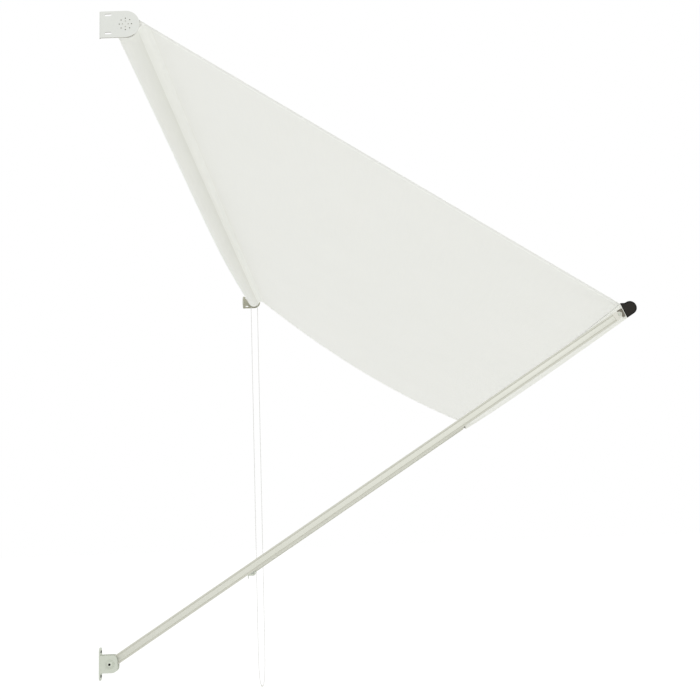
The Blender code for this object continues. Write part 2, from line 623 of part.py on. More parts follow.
def bar_outline(open_groove):
    """The bar's outer line: back, lower side, nose, hollow neck and tip, with or without the keder groove."""
    degrees = 180 / pi
    nose = arc(NOSE_CENTRE, NOSE_RADIUS, -90, NOSE_END, 26)
    foot = (BAR_TIP[0] + NECK_FOOT[0], BAR_TIP[1] + NECK_FOOT[1])
    pull = (nose[-1][0] + NECK_PULL[0], nose[-1][1] + NECK_PULL[1])
    nose += curved(nose[-1], pull, foot, 6)[1:]
    back = unit(BAR_TIP, BACK_LOW)
    top = unit(BAR_TIP, foot)
    if not open_groove:
        return [BACK_LOW] + nose + [moved(BAR_TIP, top, TIP_BLUNT / 2), moved(BAR_TIP, back, TIP_BLUNT / 2)]
    slit = unit(BAR_TIP, GROOVE_CENTRE)
    side = (-slit[1], slit[0])
    mouth = moved(BAR_TIP, slit, TIP_BLUNT)
    opening = atan2(-slit[1], -slit[0]) * degrees
    spread = atan2(SLIT / 2, sqrt(GROOVE_RADIUS**2 - (SLIT / 2) ** 2)) * degrees
    groove = arc(GROOVE_CENTRE, GROOVE_RADIUS, opening - spread, opening + spread - 360, 16)
    return [
        BACK_LOW, *nose, moved(BAR_TIP, top, TIP_BLUNT * 1.3), moved(mouth, side, SLIT / 2),
        *groove, moved(mouth, side, -SLIT / 2), moved(BAR_TIP, back, TIP_BLUNT * 1.3),
    ]


def chamber_outline(inset):
    """The hollow inside the bar, taken in from the wall by inset."""
    wall = BAR_WALL + inset
    nose = arc(NOSE_CENTRE, NOSE_RADIUS - wall, -90, NOSE_END - 4, 22)
    boss = GROOVE_RADIUS + BAR_WALL + inset
    around = arc(GROOVE_CENTRE, boss, 5, -125, 8)
    back = unit(BACK_LOW, BAR_TIP)
    inward = (back[1], -back[0])
    low = moved(moved(BACK_LOW, back, wall), inward, wall)
    high = moved(moved(BAR_TIP, back, -hypot(*around[-1]) + boss), inward, wall)
    level = around[-1][1] - 1.2 * MM
    share = (level - low[1]) / (high[1] - low[1])
    return [low, *nose, *around, (low[0] + (high[0] - low[0]) * share, level)]


def front_bar(parent, bracket_width):
    """The extrusion with its keder groove, the end caps, and at each arm a hinge block with its pin."""
    start, end = at("left", BAR_INWARD + CAP_THICKNESS + GAP), at("right", BAR_INWARD + CAP_THICKNESS + GAP)
    piece("front_bar", prism([bar_outline(True), chamber_outline(0)], start, end, along_x),
          "painted_aluminium", parent)
    for side in ("left", "right"):
        cap = prism([bar_outline(False)], at(side, BAR_INWARD), at(side, BAR_INWARD + CAP_THICKNESS), along_x)
        cap = piece(f"{side}_end_cap", cap, "black_plastic", parent)
        spigot = prism([chamber_outline(GAP)], at(side, BAR_INWARD + CAP_THICKNESS / 2),
                       at(side, BAR_INWARD + CAP_THICKNESS + CAP_SPIGOT), along_x)
        combine(cap, piece(f"{side}_cap_spigot", spigot, "black_plastic", parent), "UNION")
        hinge_block(side, at(side, EAR_INWARD + bracket_width / 2), parent)
    rod = prism([circle(GROOVE_CENTRE, HEM_ROD_RADIUS, 12)],
                at("left", CLOTH_LEFT), at("right", CLOTH_RIGHT), along_x)
    piece("hem_rod", rod, "white_plastic", parent)


def hinge_block(side, middle, parent):
    """A block on the bar's flat back, hollowed round the arm's cheeks, whose tongue they hold by a headed pin."""
    back = unit(BACK_LOW, BAR_TIP)
    lean = atan2(back[0], back[1])
    face = BACK_LOW[0] * back[1] - BACK_LOW[1] * back[0] - GAP
    hollow = EYE_RADIUS + RUNNING + GAP
    start = acos(SADDLE_BACK / hollow) * 180 / pi
    saddle = [(face, SADDLE_LOW), (face, SADDLE_HIGH), (SADDLE_BACK, SADDLE_HIGH)]
    saddle += arc((0, 0), hollow, start, 0, 10) + [(hollow, SADDLE_LOW)]
    block = prism([saddle], middle - ARM_WIDTH / 2, middle + ARM_WIDTH / 2, along_x)
    block = piece(f"{side}_hinge_block", block, "grey_plastic", parent, lean)
    root = (hollow + face) / 2
    tongue = arc((0, 0), TONGUE_RADIUS, 90, 270, 14) + [(root, -TONGUE_RADIUS), (root, TONGUE_RADIUS)]
    bore = circle((0, 0), PIN_RADIUS + GAP, 20)
    tongue = prism([tongue, bore], middle - TONGUE_WIDTH / 2, middle + TONGUE_WIDTH / 2, along_x)
    combine(block, piece(f"{side}_tongue", tongue, "grey_plastic", parent, lean), "UNION")
    head_radius, head_height = PIN_HEAD
    end = ARM_WIDTH / 2 + GAP
    profile = [(-end - head_height, 0), (-end - head_height, head_radius * 0.7), (-end, head_radius),
               (-end, PIN_RADIUS), (end, PIN_RADIUS), (end, head_radius), (end + head_height, head_radius * 0.7),
               (end + head_height, 0)]
    pin = turned([(middle + x, r) for x, r in profile], 20)
    piece(f"{side}_head_pin", pin, "painted_steel", parent)


def in_world(point):
    """A section point of the front bar as (out, up) in the wall's directions."""
    along, above = point[0] + ARM_LENGTH, point[1]
    out = PIVOT_OUT + along * cos(ARM_ANGLE) - above * sin(ARM_ANGLE)
    return (out, -PIVOT_DROP + along * sin(ARM_ANGLE) + above * cos(ARM_ANGLE))


def leaves_roller(mouth, radius, depth):
    """Where a cloth that sags by depth leaves the roller, so that it starts along the roller's skin."""
    fall = ARM_ANGLE
    for _ in range(8):
        top = (AXIS_OUT + radius * sin(fall), radius * cos(fall))
        fall = atan2(top[1] - mouth[1] + 4 * depth, mouth[0] - top[0])
    return top


def cloth(parent):
    """The stretched cloth: from the top of the roller, sagging towards its right edge, into the bar's groove."""
    slit = unit(BAR_TIP, GROOVE_CENTRE)
    mouth = in_world(moved(BAR_TIP, slit, -MM))
    hem = in_world(moved(GROOVE_CENTRE, slit, -HEM_ROD_RADIUS - GAP - CLOTH_THICKNESS / 2))
    radius = TURNS_RADIUS + GAP + CLOTH_THICKNESS / 2
    across, down = CLOTH_CELLS
    start, end = at("left", CLOTH_LEFT), at("right", CLOTH_RIGHT)
    bm = bmesh.new()
    rows = []
    for i in range(across + 1):
        share = i / across
        depth = SAG_LEFT + (SAG_RIGHT - SAG_LEFT) * share
        top = leaves_roller(mouth, radius, depth)
        row = []
        for j in range(down + 1):
            step = j / down
            here = (top[0] + (mouth[0] - top[0]) * step,
                    top[1] + (mouth[1] - top[1]) * step - 4 * depth * step * (1 - step))
            row.append(bm.verts.new(along_x(*here, start + (end - start) * share)))
        row.append(bm.verts.new(along_x(*hem, start + (end - start) * share)))
        rows.append(row)
    for row, after in zip(rows, rows[1:]):
        for corners in zip(row, row[1:], after[1:], after):
            bm.faces.new(corners)
    sheet = piece("cloth", bm, "canvas", parent)
    wall = sheet.modifiers.new("Thickness", "SOLIDIFY")
    wall.thickness = CLOTH_THICKNESS
    wall.offset = 0


def smooth_through(route, steps):
    """Points on a smooth curve through the route's points."""
    padded = [route[0], *route, route[-1]]
    points = []
    for before, start, end, after in zip(padded, padded[1:], padded[2:], padded[3:]):
        for i in range(steps):
            t = i / steps
            points.append([
                b + 0.5 * t * ((c - a) + t * (2 * a - 5 * b + 4 * c - d + t * (3 * (b - c) + d - a)))
                for a, b, c, d in zip(before, start, end, after)
            ])
    return points + [route[-1]]


def bead_chain(parent):
    """The endless chain as a plain tube: over the wheel, and down in two strands to its loop."""
    points = smooth_through(CHAIN_ROUTE, CHAIN_STEPS)
    curve = bpy.data.curves.new("bead_chain", "CURVE")
    curve.dimensions = "3D"
    curve.bevel_depth = BEAD_DIAMETER / 2
    curve.bevel_resolution = 2
    curve.use_fill_caps = True
    spline = curve.splines.new("POLY")
    spline.points.add(len(points) - 1)
    for point, (out, up) in zip(spline.points, points):
        point.co = (*along_x(AXIS_OUT + out, up, at("right", CHAIN_INWARD)), 1)
    curve.materials.append(finish_of("bead_chain"))
    chain = bpy.data.objects.new("bead_chain", curve)
    bpy.context.scene.collection.objects.link(chain)
    chain.parent = parent


def roller(root):
    """Everything that turns with the tube, about an empty on the roller axis."""
    axis = axis_empty("roller_axis", along_x(AXIS_OUT, 0, 0), parent=root)
    roller_tube(axis)
    groove = prism([circle((0, TUBE_RADIUS - KEY_DEPTH + KEDER_RADIUS + RUNNING), KEDER_RADIUS, 12)],
                   at("left", CLOTH_LEFT), at("right", CLOTH_RIGHT), along_x)
    piece("roller_keder", groove, "white_plastic", axis)
    turns = prism([circle((0, 0), TURNS_RADIUS, 48), circle((0, 0), TUBE_RADIUS + GAP, 48)],
                  at("left", CLOTH_LEFT), at("right", CLOTH_RIGHT), along_x)
    piece("cloth_turns", turns, "canvas", axis)
    return axis


def main():
    clear_scene()
    root = axis_empty("wall_frame_origin", (0, 0, 0))
    turning = roller(root)
    idler(root, turning)
    clutch(root, turning)
    for side in ("left", "right"):
        top_bracket(side, root)
    pivots = axis_empty("lower_brackets_origin", along_x(0, -PIVOT_DROP, 0), parent=root)
    for side in ("left", "right"):
        width = lower_bracket(side, pivots)
        pivot_hardware(side, pivots, width)
        foot = axis_empty(f"{side}_arm_axis", along_x(PIVOT_OUT, 0, 0), -ARM_ANGLE, pivots)
        arm(side, foot, width)
    head = axis_empty("front_bar_axis", along_x(ARM_LENGTH, 0, 0), 0, bpy.data.objects["left_arm_axis"])
    front_bar(head, width)
    cloth(root)
    bead_chain(root)


main()
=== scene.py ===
"""Looks of a drop-arm canvas awning, 4 m wide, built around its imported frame.

Lengths are in metres. Sections are written as (out, up): out is the distance from the wall, which is -Y, and up is +Z.
"""
import logging
import math
from dataclasses import dataclass, field
from enum import Enum
from typing import Any, Callable, Optional, Sequence

import bmesh
import bpy
import numpy as np
from mathutils import Matrix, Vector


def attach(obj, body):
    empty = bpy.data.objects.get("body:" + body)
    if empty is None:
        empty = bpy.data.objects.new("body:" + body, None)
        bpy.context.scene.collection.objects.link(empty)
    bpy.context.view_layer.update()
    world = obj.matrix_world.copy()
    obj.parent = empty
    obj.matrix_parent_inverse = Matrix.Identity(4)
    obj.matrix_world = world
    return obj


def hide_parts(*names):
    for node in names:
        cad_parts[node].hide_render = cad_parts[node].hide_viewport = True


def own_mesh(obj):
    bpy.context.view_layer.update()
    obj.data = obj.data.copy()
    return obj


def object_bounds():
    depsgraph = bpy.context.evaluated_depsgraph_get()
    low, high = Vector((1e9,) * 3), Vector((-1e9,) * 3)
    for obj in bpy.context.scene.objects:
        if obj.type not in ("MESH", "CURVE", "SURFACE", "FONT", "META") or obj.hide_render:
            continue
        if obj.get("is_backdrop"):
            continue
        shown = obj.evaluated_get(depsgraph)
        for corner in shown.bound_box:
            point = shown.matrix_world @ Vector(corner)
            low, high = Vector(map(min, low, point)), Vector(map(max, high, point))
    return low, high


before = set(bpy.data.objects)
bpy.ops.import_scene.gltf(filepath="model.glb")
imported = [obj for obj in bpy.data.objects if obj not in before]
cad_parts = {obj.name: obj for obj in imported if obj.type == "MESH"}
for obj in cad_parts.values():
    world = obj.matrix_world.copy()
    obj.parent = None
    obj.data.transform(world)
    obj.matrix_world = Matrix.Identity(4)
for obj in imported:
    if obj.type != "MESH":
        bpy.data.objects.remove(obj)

LOG = logging.getLogger("awning")
MM = 0.001
JOIN = 0.002 * MM  # corners closer than this are one
FLAT, CRISP = math.radians(1.5), math.radians(40)  # edges below FLAT go, and those above CRISP are rounded
Array = np.ndarray


class End(Enum):
    """One of the awning's two ends."""

    LEFT = "left"
    RIGHT = "right"


class Body(Enum):
    """The bodies that pieces ride on."""

    WALL = "wall_frame"
    ROLLER = "roller"
    LEFT_ARM = "left_arm"
    RIGHT_ARM = "right_arm"
    BAR = "front_bar"


@dataclass(frozen=True)
class Sizes:
    """The awning's main sizes, the same as the solids have."""

    left: float = -16 * MM
    width: float = 4000 * MM
    axis_out: float = 75 * MM
    pivot_out: float = 29 * MM
    pivot_drop: float = 1766 * MM
    arm_length: float = 1650 * MM
    arm_angle: float = math.radians(32.2)
    arm_swing: float = math.radians(55)  # from open to closed
    arm_inward: float = 25 * MM
    cloth_left: float = 14 * MM
    cloth_right: float = 30 * MM
    roller_bow: float = 16 * MM
    roller_dip: float = 17 * MM
    bar_bow: float = 8 * MM
    turns_radius: float = 35 * MM
    turns_bulge: float = 6 * MM
    bar_tip: tuple[float, float] = (16.4 * MM, 24 * MM)
    groove_centre: tuple[float, float] = (19.7 * MM, 14.4 * MM)
    groove_radius: float = 3.3 * MM

    @property
    def right(self) -> float:
        """X of the right bracket's outer face."""
        return self.left + self.width

    def at(self, end: End, inward: float) -> float:
        """X of a distance inward from that end."""
        return self.left + inward if end is End.LEFT else self.right - inward

    def bar_point(self, points: Array, raised: float = 0.0) -> Array:
        """Turns points of the front bar's section into (out, up) from the wall.

        Args:
            points: (n, 2) distances from the head pin, along the arm and square to it.
            raised: How far the arms have swung up from the open pose, in radians. The bar keeps its attitude.

        Returns:
            (n, 2) distances: pivot + arm length turned by the arm's angle + the point turned by the open angle.
        """
        points = np.atleast_2d(np.asarray(points, float))
        arm, bar = self.arm_angle + raised, self.arm_angle
        pin = np.array([self.pivot_out + self.arm_length * math.cos(arm),
                        -self.pivot_drop + self.arm_length * math.sin(arm)])
        turn = np.array([[math.cos(bar), math.sin(bar)], [-math.sin(bar), math.cos(bar)]])
        return pin + points @ turn

    def bow(self, x: Array, depth: float) -> Array:
        """How far a long tube hangs below its straight line at x: a parabola, 0 at both ends, depth at the middle."""
        share = (np.asarray(x, float) - self.left) / self.width
        return -4 * depth * share * (1 - share)

    def slack(self, x: Array) -> Array:
        """How loosely the turns lie at x, from 0 at both ends to 1: sin(pi * s^1.4)^1.5, s = share of the width."""
        share = np.clip((np.asarray(x, float) - self.left) / self.width, 0, 1)
        return np.sin(np.pi * share**1.4) ** 1.5

    def roller_line(self, x: Array) -> Array:
        """Height of the roller's middle line at x: a parabola, and a dip where the turns are slack."""
        return self.bow(x, self.roller_bow) - self.roller_dip * self.slack(x)

    def roller_axis(self, x: Array) -> Array:
        """(n, 2) places (out, up) of the roller's middle line at x."""
        return np.stack([np.full(len(x), self.axis_out), self.roller_line(x)], axis=1)

    def turns_reach(self, x: Array) -> Array:
        """Radius of the wound turns at x."""
        return self.turns_radius + self.turns_bulge * self.slack(x)


SIZES = Sizes()


# Materials


def linear(code: str) -> tuple[float, float, float, float]:
    """Turns an sRGB hex colour into linear light.

    Args:
        code: Six hex digits.

    Returns:
        Red, green, blue and alpha, for a colour socket.
    """
    parts = [int(code[i:i + 2], 16) / 255 for i in (0, 2, 4)]
    red, green, blue = (c / 12.92 if c <= 0.04045 else ((c + 0.055) / 1.055) ** 2.4 for c in parts)
    return red, green, blue, 1.0


def add_node(tree: bpy.types.NodeTree, kind: str, inputs: Optional[dict[Any, Any]] = None, **settings: Any) -> Any:
    """Adds a node with its settings, and sets or links its inputs.

    Args:
        tree: The tree that takes the node.
        kind: The node's type name without its ShaderNode prefix.
        inputs: Input name or index to a value or to another node's output.
        settings: The node's own properties.

    Returns:
        The new node.
    """
    node = tree.nodes.new("ShaderNode" + kind)
    for name, value in settings.items():
        setattr(node, name, value)
    for key, value in (inputs or {}).items():
        if isinstance(value, bpy.types.NodeSocket):
            tree.links.new(value, node.inputs[key])
        else:
            node.inputs[key].default_value = value
    return node


@dataclass(frozen=True)
class Finish:
    """A surface with a fine grain and slow colour changes, which every finish here starts from.

    Args:
        name: Material name.
        slot: The record's material slot.
        colour: Main colour, sRGB hex.
        shade: The colour that it drifts to, sRGB hex.
        roughness: Mean roughness.
        drift: Size of the slow colour changes.
        grain: Size of one grain of the surface.
        relief: Height of the grain.
        metallic: 1 for bare metal.
        gloss: Share of the light that it mirrors, 0.5 for an ordinary coat.
    """

    name: str
    slot: str
    colour: str
    shade: str
    roughness: float
    drift: float = 120 * MM
    grain: float = 1.2 * MM
    relief: float = 0.02 * MM
    metallic: float = 0.0
    gloss: float = 0.5

    def material(self) -> bpy.types.Material:
        """Makes the material on first use and returns it."""
        found = bpy.data.materials.get(self.name)
        if found:
            return found
        material = bpy.data.materials.new(self.name)
        material.use_nodes = True
        tree = material.node_tree
        shader = tree.nodes["Principled BSDF"]
        shader.inputs["Metallic"].default_value = self.metallic
        shader.inputs["Specular IOR Level"].default_value = self.gloss
        self.dress(tree, shader)
        return material

    def dress(self, tree: bpy.types.NodeTree, shader: Any) -> None:
        """Adds colour, roughness and relief: noise on Object coordinates at the drift's and the grain's scale.

        Args:
            tree: The material's nodes.
            shader: Its Principled BSDF.
        """
        place = add_node(tree, "TexCoord").outputs["Object"]
        slow = add_node(tree, "TexNoise", {"Vector": place, "Scale": 1 / self.drift, "Detail": 3.0})
        fine = add_node(tree, "TexNoise", {"Vector": place, "Scale": 1 / self.grain, "Detail": 2.0})
        self.paint(tree, shader, slow.outputs["Fac"])
        self.polish(tree, shader, slow.outputs["Fac"], 0.05)
        self.emboss(tree, shader, fine.outputs["Fac"])

    def paint(self, tree: bpy.types.NodeTree, shader: Any, share: Any) -> None:
        """Mixes colour and shade by share and links them to the shader."""
        mix = add_node(tree, "Mix", {"Factor": share, 6: linear(self.colour), 7: linear(self.shade)}, data_type="RGBA")
        tree.links.new(mix.outputs[2], shader.inputs["Base Color"])

    def polish(self, tree: bpy.types.NodeTree, shader: Any, share: Any, spread: float) -> None:
        """Lets share move the roughness by spread to either side of its mean."""
        rough = add_node(tree, "MapRange", {"Value": share, "To Min": self.roughness - spread,
                                            "To Max": self.roughness + spread})
        tree.links.new(rough.outputs["Result"], shader.inputs["Roughness"])

    def emboss(self, tree: bpy.types.NodeTree, shader: Any, height: Any) -> None:
        """Links a bump of that height, times the relief, to the shader's normal."""
        bump = add_node(tree, "Bump", {"Height": height, "Distance": self.relief, "Strength": 1.0})
        tree.links.new(bump.outputs["Normal"], shader.inputs["Normal"])


@dataclass(frozen=True)
class BrushedFinish(Finish):
    """Metal with drawn marks along the roller's direction: noise squeezed across X."""

    streak: float = 40.0

    def dress(self, tree: bpy.types.NodeTree, shader: Any) -> None:
        """Adds the marks to colour, roughness and relief.

        Args:
            tree: The material's nodes.
            shader: Its Principled BSDF.
        """
        place = add_node(tree, "TexCoord").outputs["Object"]
        long = add_node(tree, "Mapping", {"Vector": place, "Scale": (1 / self.streak, 1.0, 1.0)})
        marks = add_node(tree, "TexNoise", {"Vector": long.outputs["Vector"], "Scale": 1 / self.grain, "Detail": 3.0})
        self.paint(tree, shader, marks.outputs["Fac"])
        self.polish(tree, shader, marks.outputs["Fac"], 0.08)
        self.emboss(tree, shader, marks.outputs["Fac"])


@dataclass(frozen=True)
class CanvasFinish(Finish):
    """Plain-woven canvas: threads over and under each other, on the sheet's own UV map in metres."""

    roughness: float = 0.85
    drift: float = 450 * MM
    relief: float = 0.05 * MM
    thread: float = 1.1 * MM  # drawn at twice the real 0.55 mm, below which nothing shows
    through: float = 0.4  # how much of its light passes through the weave
    nap: float = 0.15  # how much its loose fibres brighten it where it is seen aslant

    def dress(self, tree: bpy.types.NodeTree, shader: Any) -> None:
        """Adds the weave: sin(u) * sin(v) lifts warp and weft in turn, and slubs vary its colour.

        Args:
            tree: The material's nodes.
            shader: Its Principled BSDF.
        """
        place = add_node(tree, "UVMap", uv_map="cloth").outputs["UV"]
        split = add_node(tree, "SeparateXYZ", {"Vector": place})
        waves = []
        for axis in ("X", "Y"):
            turn = add_node(tree, "Math", {0: split.outputs[axis], 1: math.pi / self.thread}, operation="MULTIPLY")
            waves.append(add_node(tree, "Math", {0: turn.outputs[0]}, operation="SINE").outputs[0])
        weave = add_node(tree, "Math", {0: waves[0], 1: waves[1]}, operation="MULTIPLY").outputs[0]
        slub_place = add_node(tree, "Mapping", {"Vector": place, "Scale": (1.0, 14.0, 1.0)}).outputs["Vector"]
        slubs = add_node(tree, "TexNoise", {"Vector": slub_place, "Scale": 9.0, "Detail": 5.0}).outputs["Fac"]
        cloud = add_node(tree, "TexNoise", {"Vector": place, "Scale": 1 / self.drift, "Detail": 2.0}).outputs["Fac"]
        blend = add_node(tree, "Math", {0: slubs, 1: cloud}, operation="MULTIPLY").outputs[0]
        spread = add_node(tree, "MapRange", {"Value": blend, "From Min": 0.12, "From Max": 0.42}).outputs["Result"]
        self.paint(tree, shader, spread)
        height = add_node(tree, "Math", {0: weave, 1: slubs}, operation="ADD").outputs[0]
        self.emboss(tree, shader, height)
        shader.inputs["Roughness"].default_value = self.roughness
        shader.inputs["Sheen Weight"].default_value = self.nap
        shader.inputs["Sheen Roughness"].default_value = 0.5
        shader.inputs["Subsurface Weight"].default_value = self.through
        shader.inputs["Subsurface Radius"].default_value = (1.0, 1.0, 0.96)
        shader.inputs["Subsurface Scale"].default_value = 2 * MM


class Finishes:
    """Every finish of the awning."""

    # Polyester powder coat on steel: a soft gloss with the fine orange peel of melted powder
    BRACKET = Finish("powder_coated_steel", "painted_steel", "e3e5e0", "dcded9", 0.42, grain=1.6 * MM)
    # Painted shade: the same coat, darkened and greyed on the top brackets' inboard faces, where shade falls
    INBOARD_SHADE = Finish("painted_inboard_shade_steel", "painted_steel", "b8b7a4", "a8a796", 0.5, grain=1.6 * MM)
    # Painted shade: darker steel on the top brackets' downward faces, and near-black on slot walls and inside bolt
    # sockets, where shade falls
    UNDERSIDE_SHADE = Finish("painted_underside_shade_steel", "painted_steel", "a8a69b", "9c9a90", 0.55, grain=0.8 * MM, gloss=0.3)
    HOLE_SHADE = Finish("painted_hole_shade_steel", "painted_steel", "16140f", "1e1b16", 0.6, grain=0.8 * MM, gloss=0.1)
    # The lower brackets and arms are a warmer cream than the top brackets
    CREAM_STEEL = Finish("cream_coated_steel", "painted_steel", "cfd4c8", "c9cec1", 0.42, grain=1.6 * MM)
    ARM = Finish("cream_coated_aluminium", "painted_aluminium", "e2e3d9", "dbdcd0", 0.36, grain=1.4 * MM)
    # Painted shade: the same coat, darker over an arm's corners and grooves, where shade falls
    ARM_EDGE_SHADE = Finish("painted_edge_shade_aluminium", "painted_aluminium", "d2d2c7", "ccccc0", 0.4, grain=1.4 * MM)
    BAR = Finish("white_coated_aluminium", "painted_aluminium", "f4f5ee", "f0f1e9", 0.34, grain=1.4 * MM)
    # Injection-moulded plastics: even colour and a matt spark-eroded grain
    WHITE_PLASTIC = Finish("moulded_white_plastic", "white_plastic", "e3e2d9", "dcdbd1", 0.45, relief=0.012 * MM)
    CREAM_PLASTIC = Finish("moulded_cream_plastic", "white_plastic", "e0dfd6", "d9d8cd", 0.45, relief=0.012 * MM)
    GREY_PLASTIC = Finish("moulded_grey_plastic", "grey_plastic", "8b8678", "7f7a6d", 0.5, relief=0.015 * MM)
    BLACK_PLASTIC = Finish("moulded_black_plastic", "black_plastic", "2a2723", "25221e", 0.5, relief=0.02 * MM,
                           gloss=0.15)
    BLACK_RIM = Finish("polished_black_plastic", "black_plastic", "0e0c0a", "12100d", 0.4, relief=0.01 * MM,
                       gloss=0.2)
    CANVAS = CanvasFinish("white_canvas", "canvas", "eff0eb", "edeee9")
    # The turns on the roller, the loose and doubled cloth that no light comes through, and the hems. The loose cloth
    # and the hems are painted lighter than the sheet: painted light, making up for the light that passes through the
    # sheet but not through them
    WOUND = CanvasFinish("wound_canvas", "canvas", "f0f1ec", "edeee9", nap=0)
    LOOSE_LIT = CanvasFinish("loose_canvas_painted_light", "canvas", "fbfcf8", "f8f9f5", through=0, nap=0.1)
    HEM_LIT = CanvasFinish("hemmed_canvas_painted_light", "canvas", "f8f9f4", "f5f6f1")
    BEADS = Finish("glossy_bead_plastic", "bead_chain", "dededa", "d8d8d4", 0.3, drift=60 * MM, relief=0.008 * MM)
    THREAD = Finish("polyester_thread", "canvas", "f8f9f4", "f5f6f1", 0.6, grain=0.5 * MM)
    # Zinc-plated steel: cool grey with drawn marks, and the darker wire of the spring
    ZINC = BrushedFinish("zinc_plated_steel", "bright_steel", "c4c5c2", "aeb0ad", 0.32, grain=0.9 * MM, metallic=1.0)
    WIRE = BrushedFinish("spring_wire", "spring_steel", "96968f", "7f7f7a", 0.34, grain=0.6 * MM, metallic=1.0)


# Meshes


def grid_faces(rows: int, columns: int, wrap: bool) -> Array:
    """Corner numbers of a grid's quads.

    Args:
        rows: Points along the first direction.
        columns: Points along the second direction.
        wrap: True where the last column joins the first.

    Returns:
        (n, 4) indices into the points taken row by row.
    """
    down, across = np.meshgrid(np.arange(rows - 1), np.arange(columns if wrap else columns - 1), indexing="ij")
    after = (across + 1) % columns
    corners = np.stack([down * columns + across, down * columns + after,
                        (down + 1) * columns + after, (down + 1) * columns + across], axis=-1)
    return corners.reshape(-1, 4)


def mesh_piece(name: str, points: Array, faces: Sequence[Sequence[int]], finish: Finish, sharp: float = 35.0,
               uv: Optional[Array] = None) -> bpy.types.Object:
    """Puts points and faces into a piece, with outward faces, its finish and smooth shading.

    Args:
        name: Piece name.
        points: (n, 3) places in the row frame.
        faces: Corner numbers of each face.
        finish: What it is dressed with.
        sharp: Angle in degrees above which an edge stays crisp.
        uv: (n, 2) place of each point on the cloth, in metres.

    Returns:
        The piece, at the origin.
    """
    mesh = bpy.data.meshes.new(name)
    mesh.from_pydata(np.asarray(points, float).reshape(-1, 3), [], [list(map(int, f)) for f in faces])
    if uv is not None:
        layer = mesh.uv_layers.new(name="cloth")
        corner = np.empty(len(mesh.loops), np.int32)
        mesh.loops.foreach_get("vertex_index", corner)
        layer.data.foreach_set("uv", np.asarray(uv, np.float32).reshape(-1, 2)[corner].ravel())
    tidy = bmesh.new()
    tidy.from_mesh(mesh)
    bmesh.ops.recalc_face_normals(tidy, faces=tidy.faces)
    tidy.to_mesh(mesh)
    tidy.free()
    mesh.materials.append(finish.material())
    mesh.shade_smooth()
    mesh.set_sharp_from_angle(angle=math.radians(sharp))
    piece = bpy.data.objects.new(name, mesh)
    bpy.context.scene.collection.objects.link(piece)
    return piece


def swept_piece(name: str, rings: Array, finish: Finish, sharp: float = 35.0,
                uv: Optional[Array] = None) -> bpy.types.Object:
    """Makes a closed piece of rings joined one after another, with a cap at each end.

    Args:
        name: Piece name.
        rings: (rings, corners, 3) places.
        finish: What it is dressed with.
        sharp: Angle in degrees above which an edge stays crisp.
        uv: (rings, corners, 2) place of each point on the cloth, in metres.

    Returns:
        The piece.
    """
    count, corners = rings.shape[:2]
    faces = [*grid_faces(count, corners, True), np.arange(corners)[::-1], np.arange(corners) + (count - 1) * corners]
    return mesh_piece(name, rings.reshape(-1, 3), faces, finish, sharp, uv)


def extrude(section: Array, stations: Array, lift: Optional[Array] = None) -> Array:
    """Carries an (out, up) section along X.

    Args:
        section: (n, 2) closed outline.
        stations: (m,) values of X.
        lift: (m,) height added at each station.

    Returns:
        (m, n, 3) rings: x = station, y = -out, z = up + lift.
    """
    rings = np.empty((len(stations), len(section), 3))
    rings[..., 0] = stations[:, None]
    rings[..., 1] = -section[None, :, 0]
    rings[..., 2] = section[None, :, 1] + (0 if lift is None else lift[:, None])
    return rings


def arc(centre: Sequence[float], radius: float, start: float, end: float, steps: int) -> Array:
    """Points centre + radius * (cos t, sin t), t in degrees from start to end, both included."""
    turn = np.radians(np.linspace(start, end, steps + 1))
    return np.stack([centre[0] + radius * np.cos(turn), centre[1] + radius * np.sin(turn)], axis=1)


def curved(start: Sequence[float], pull: Sequence[float], end: Sequence[float], steps: int) -> Array:
    """Points of a quadratic curve: (1-t)^2 start + 2t(1-t) pull + t^2 end."""
    t = np.linspace(0, 1, steps + 1)[:, None]
    return (1 - t) ** 2 * np.array(start) + 2 * t * (1 - t) * np.array(pull) + t**2 * np.array(end)


def points_at(line: Array, reach: Array, s: Array) -> Array:
    """(n, 3) places on a line at the distances s, where reach holds the distance of each of its points."""
    return np.stack([np.interp(s, reach, line[:, i]) for i in range(3)], axis=1)


def rings_along(centres: Array, along: Array, radii: Array, sides: int) -> Array:
    """Rings round a path that stays square to X.

    Args:
        centres: (n, 3) middles of the rings.
        along: (n, 3) direction of the path at each, one long.
        radii: (n,) radii.
        sides: Corners of each ring.

    Returns:
        (n, sides, 3) places: centre + radius * (cos t * x axis + sin t * (along cross x axis)).
    """
    turn = np.radians(np.arange(sides) * 360 / sides)
    side = np.broadcast_to(np.array([1.0, 0, 0]), along.shape)
    above = np.cross(along, side)
    return centres[:, None] + radii[:, None, None] * (
        np.cos(turn)[None, :, None] * side[:, None] + np.sin(turn)[None, :, None] * above[:, None])


def roller_shell(places: Array, radii: Array, turn: Array) -> tuple[Array, list[Array]]:
    """A closed shell of rings round the roller's middle line, the last ring joined to the first.

    Args:
        places: (n,) X of each ring.
        radii: (n,) its radius.
        turn: (m,) angles of its corners.

    Returns:
        (n, m, 3) places (x, -(axis + radius * cos t), radius * sin t + line) and the faces.
    """
    points = np.empty((len(places), len(turn), 3))
    points[..., 0] = places[:, None]
    points[..., 1] = -(SIZES.axis_out + radii[:, None] * np.cos(turn))
    points[..., 2] = radii[:, None] * np.sin(turn) + SIZES.roller_line(places)[:, None]
    count, sides = points.shape[:2]
    closing = grid_faces(2, sides, True)
    closing = np.where(closing >= sides, closing - sides, closing + (count - 1) * sides)
    return points, [*grid_faces(count, sides, True), *closing]


def stand_in(piece: bpy.types.Object, body: Body, *nodes: str) -> bpy.types.Object:
    """Lets a piece stand for CAD nodes on their body, and returns it."""
    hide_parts(*nodes)
    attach(piece, body.value)
    return piece


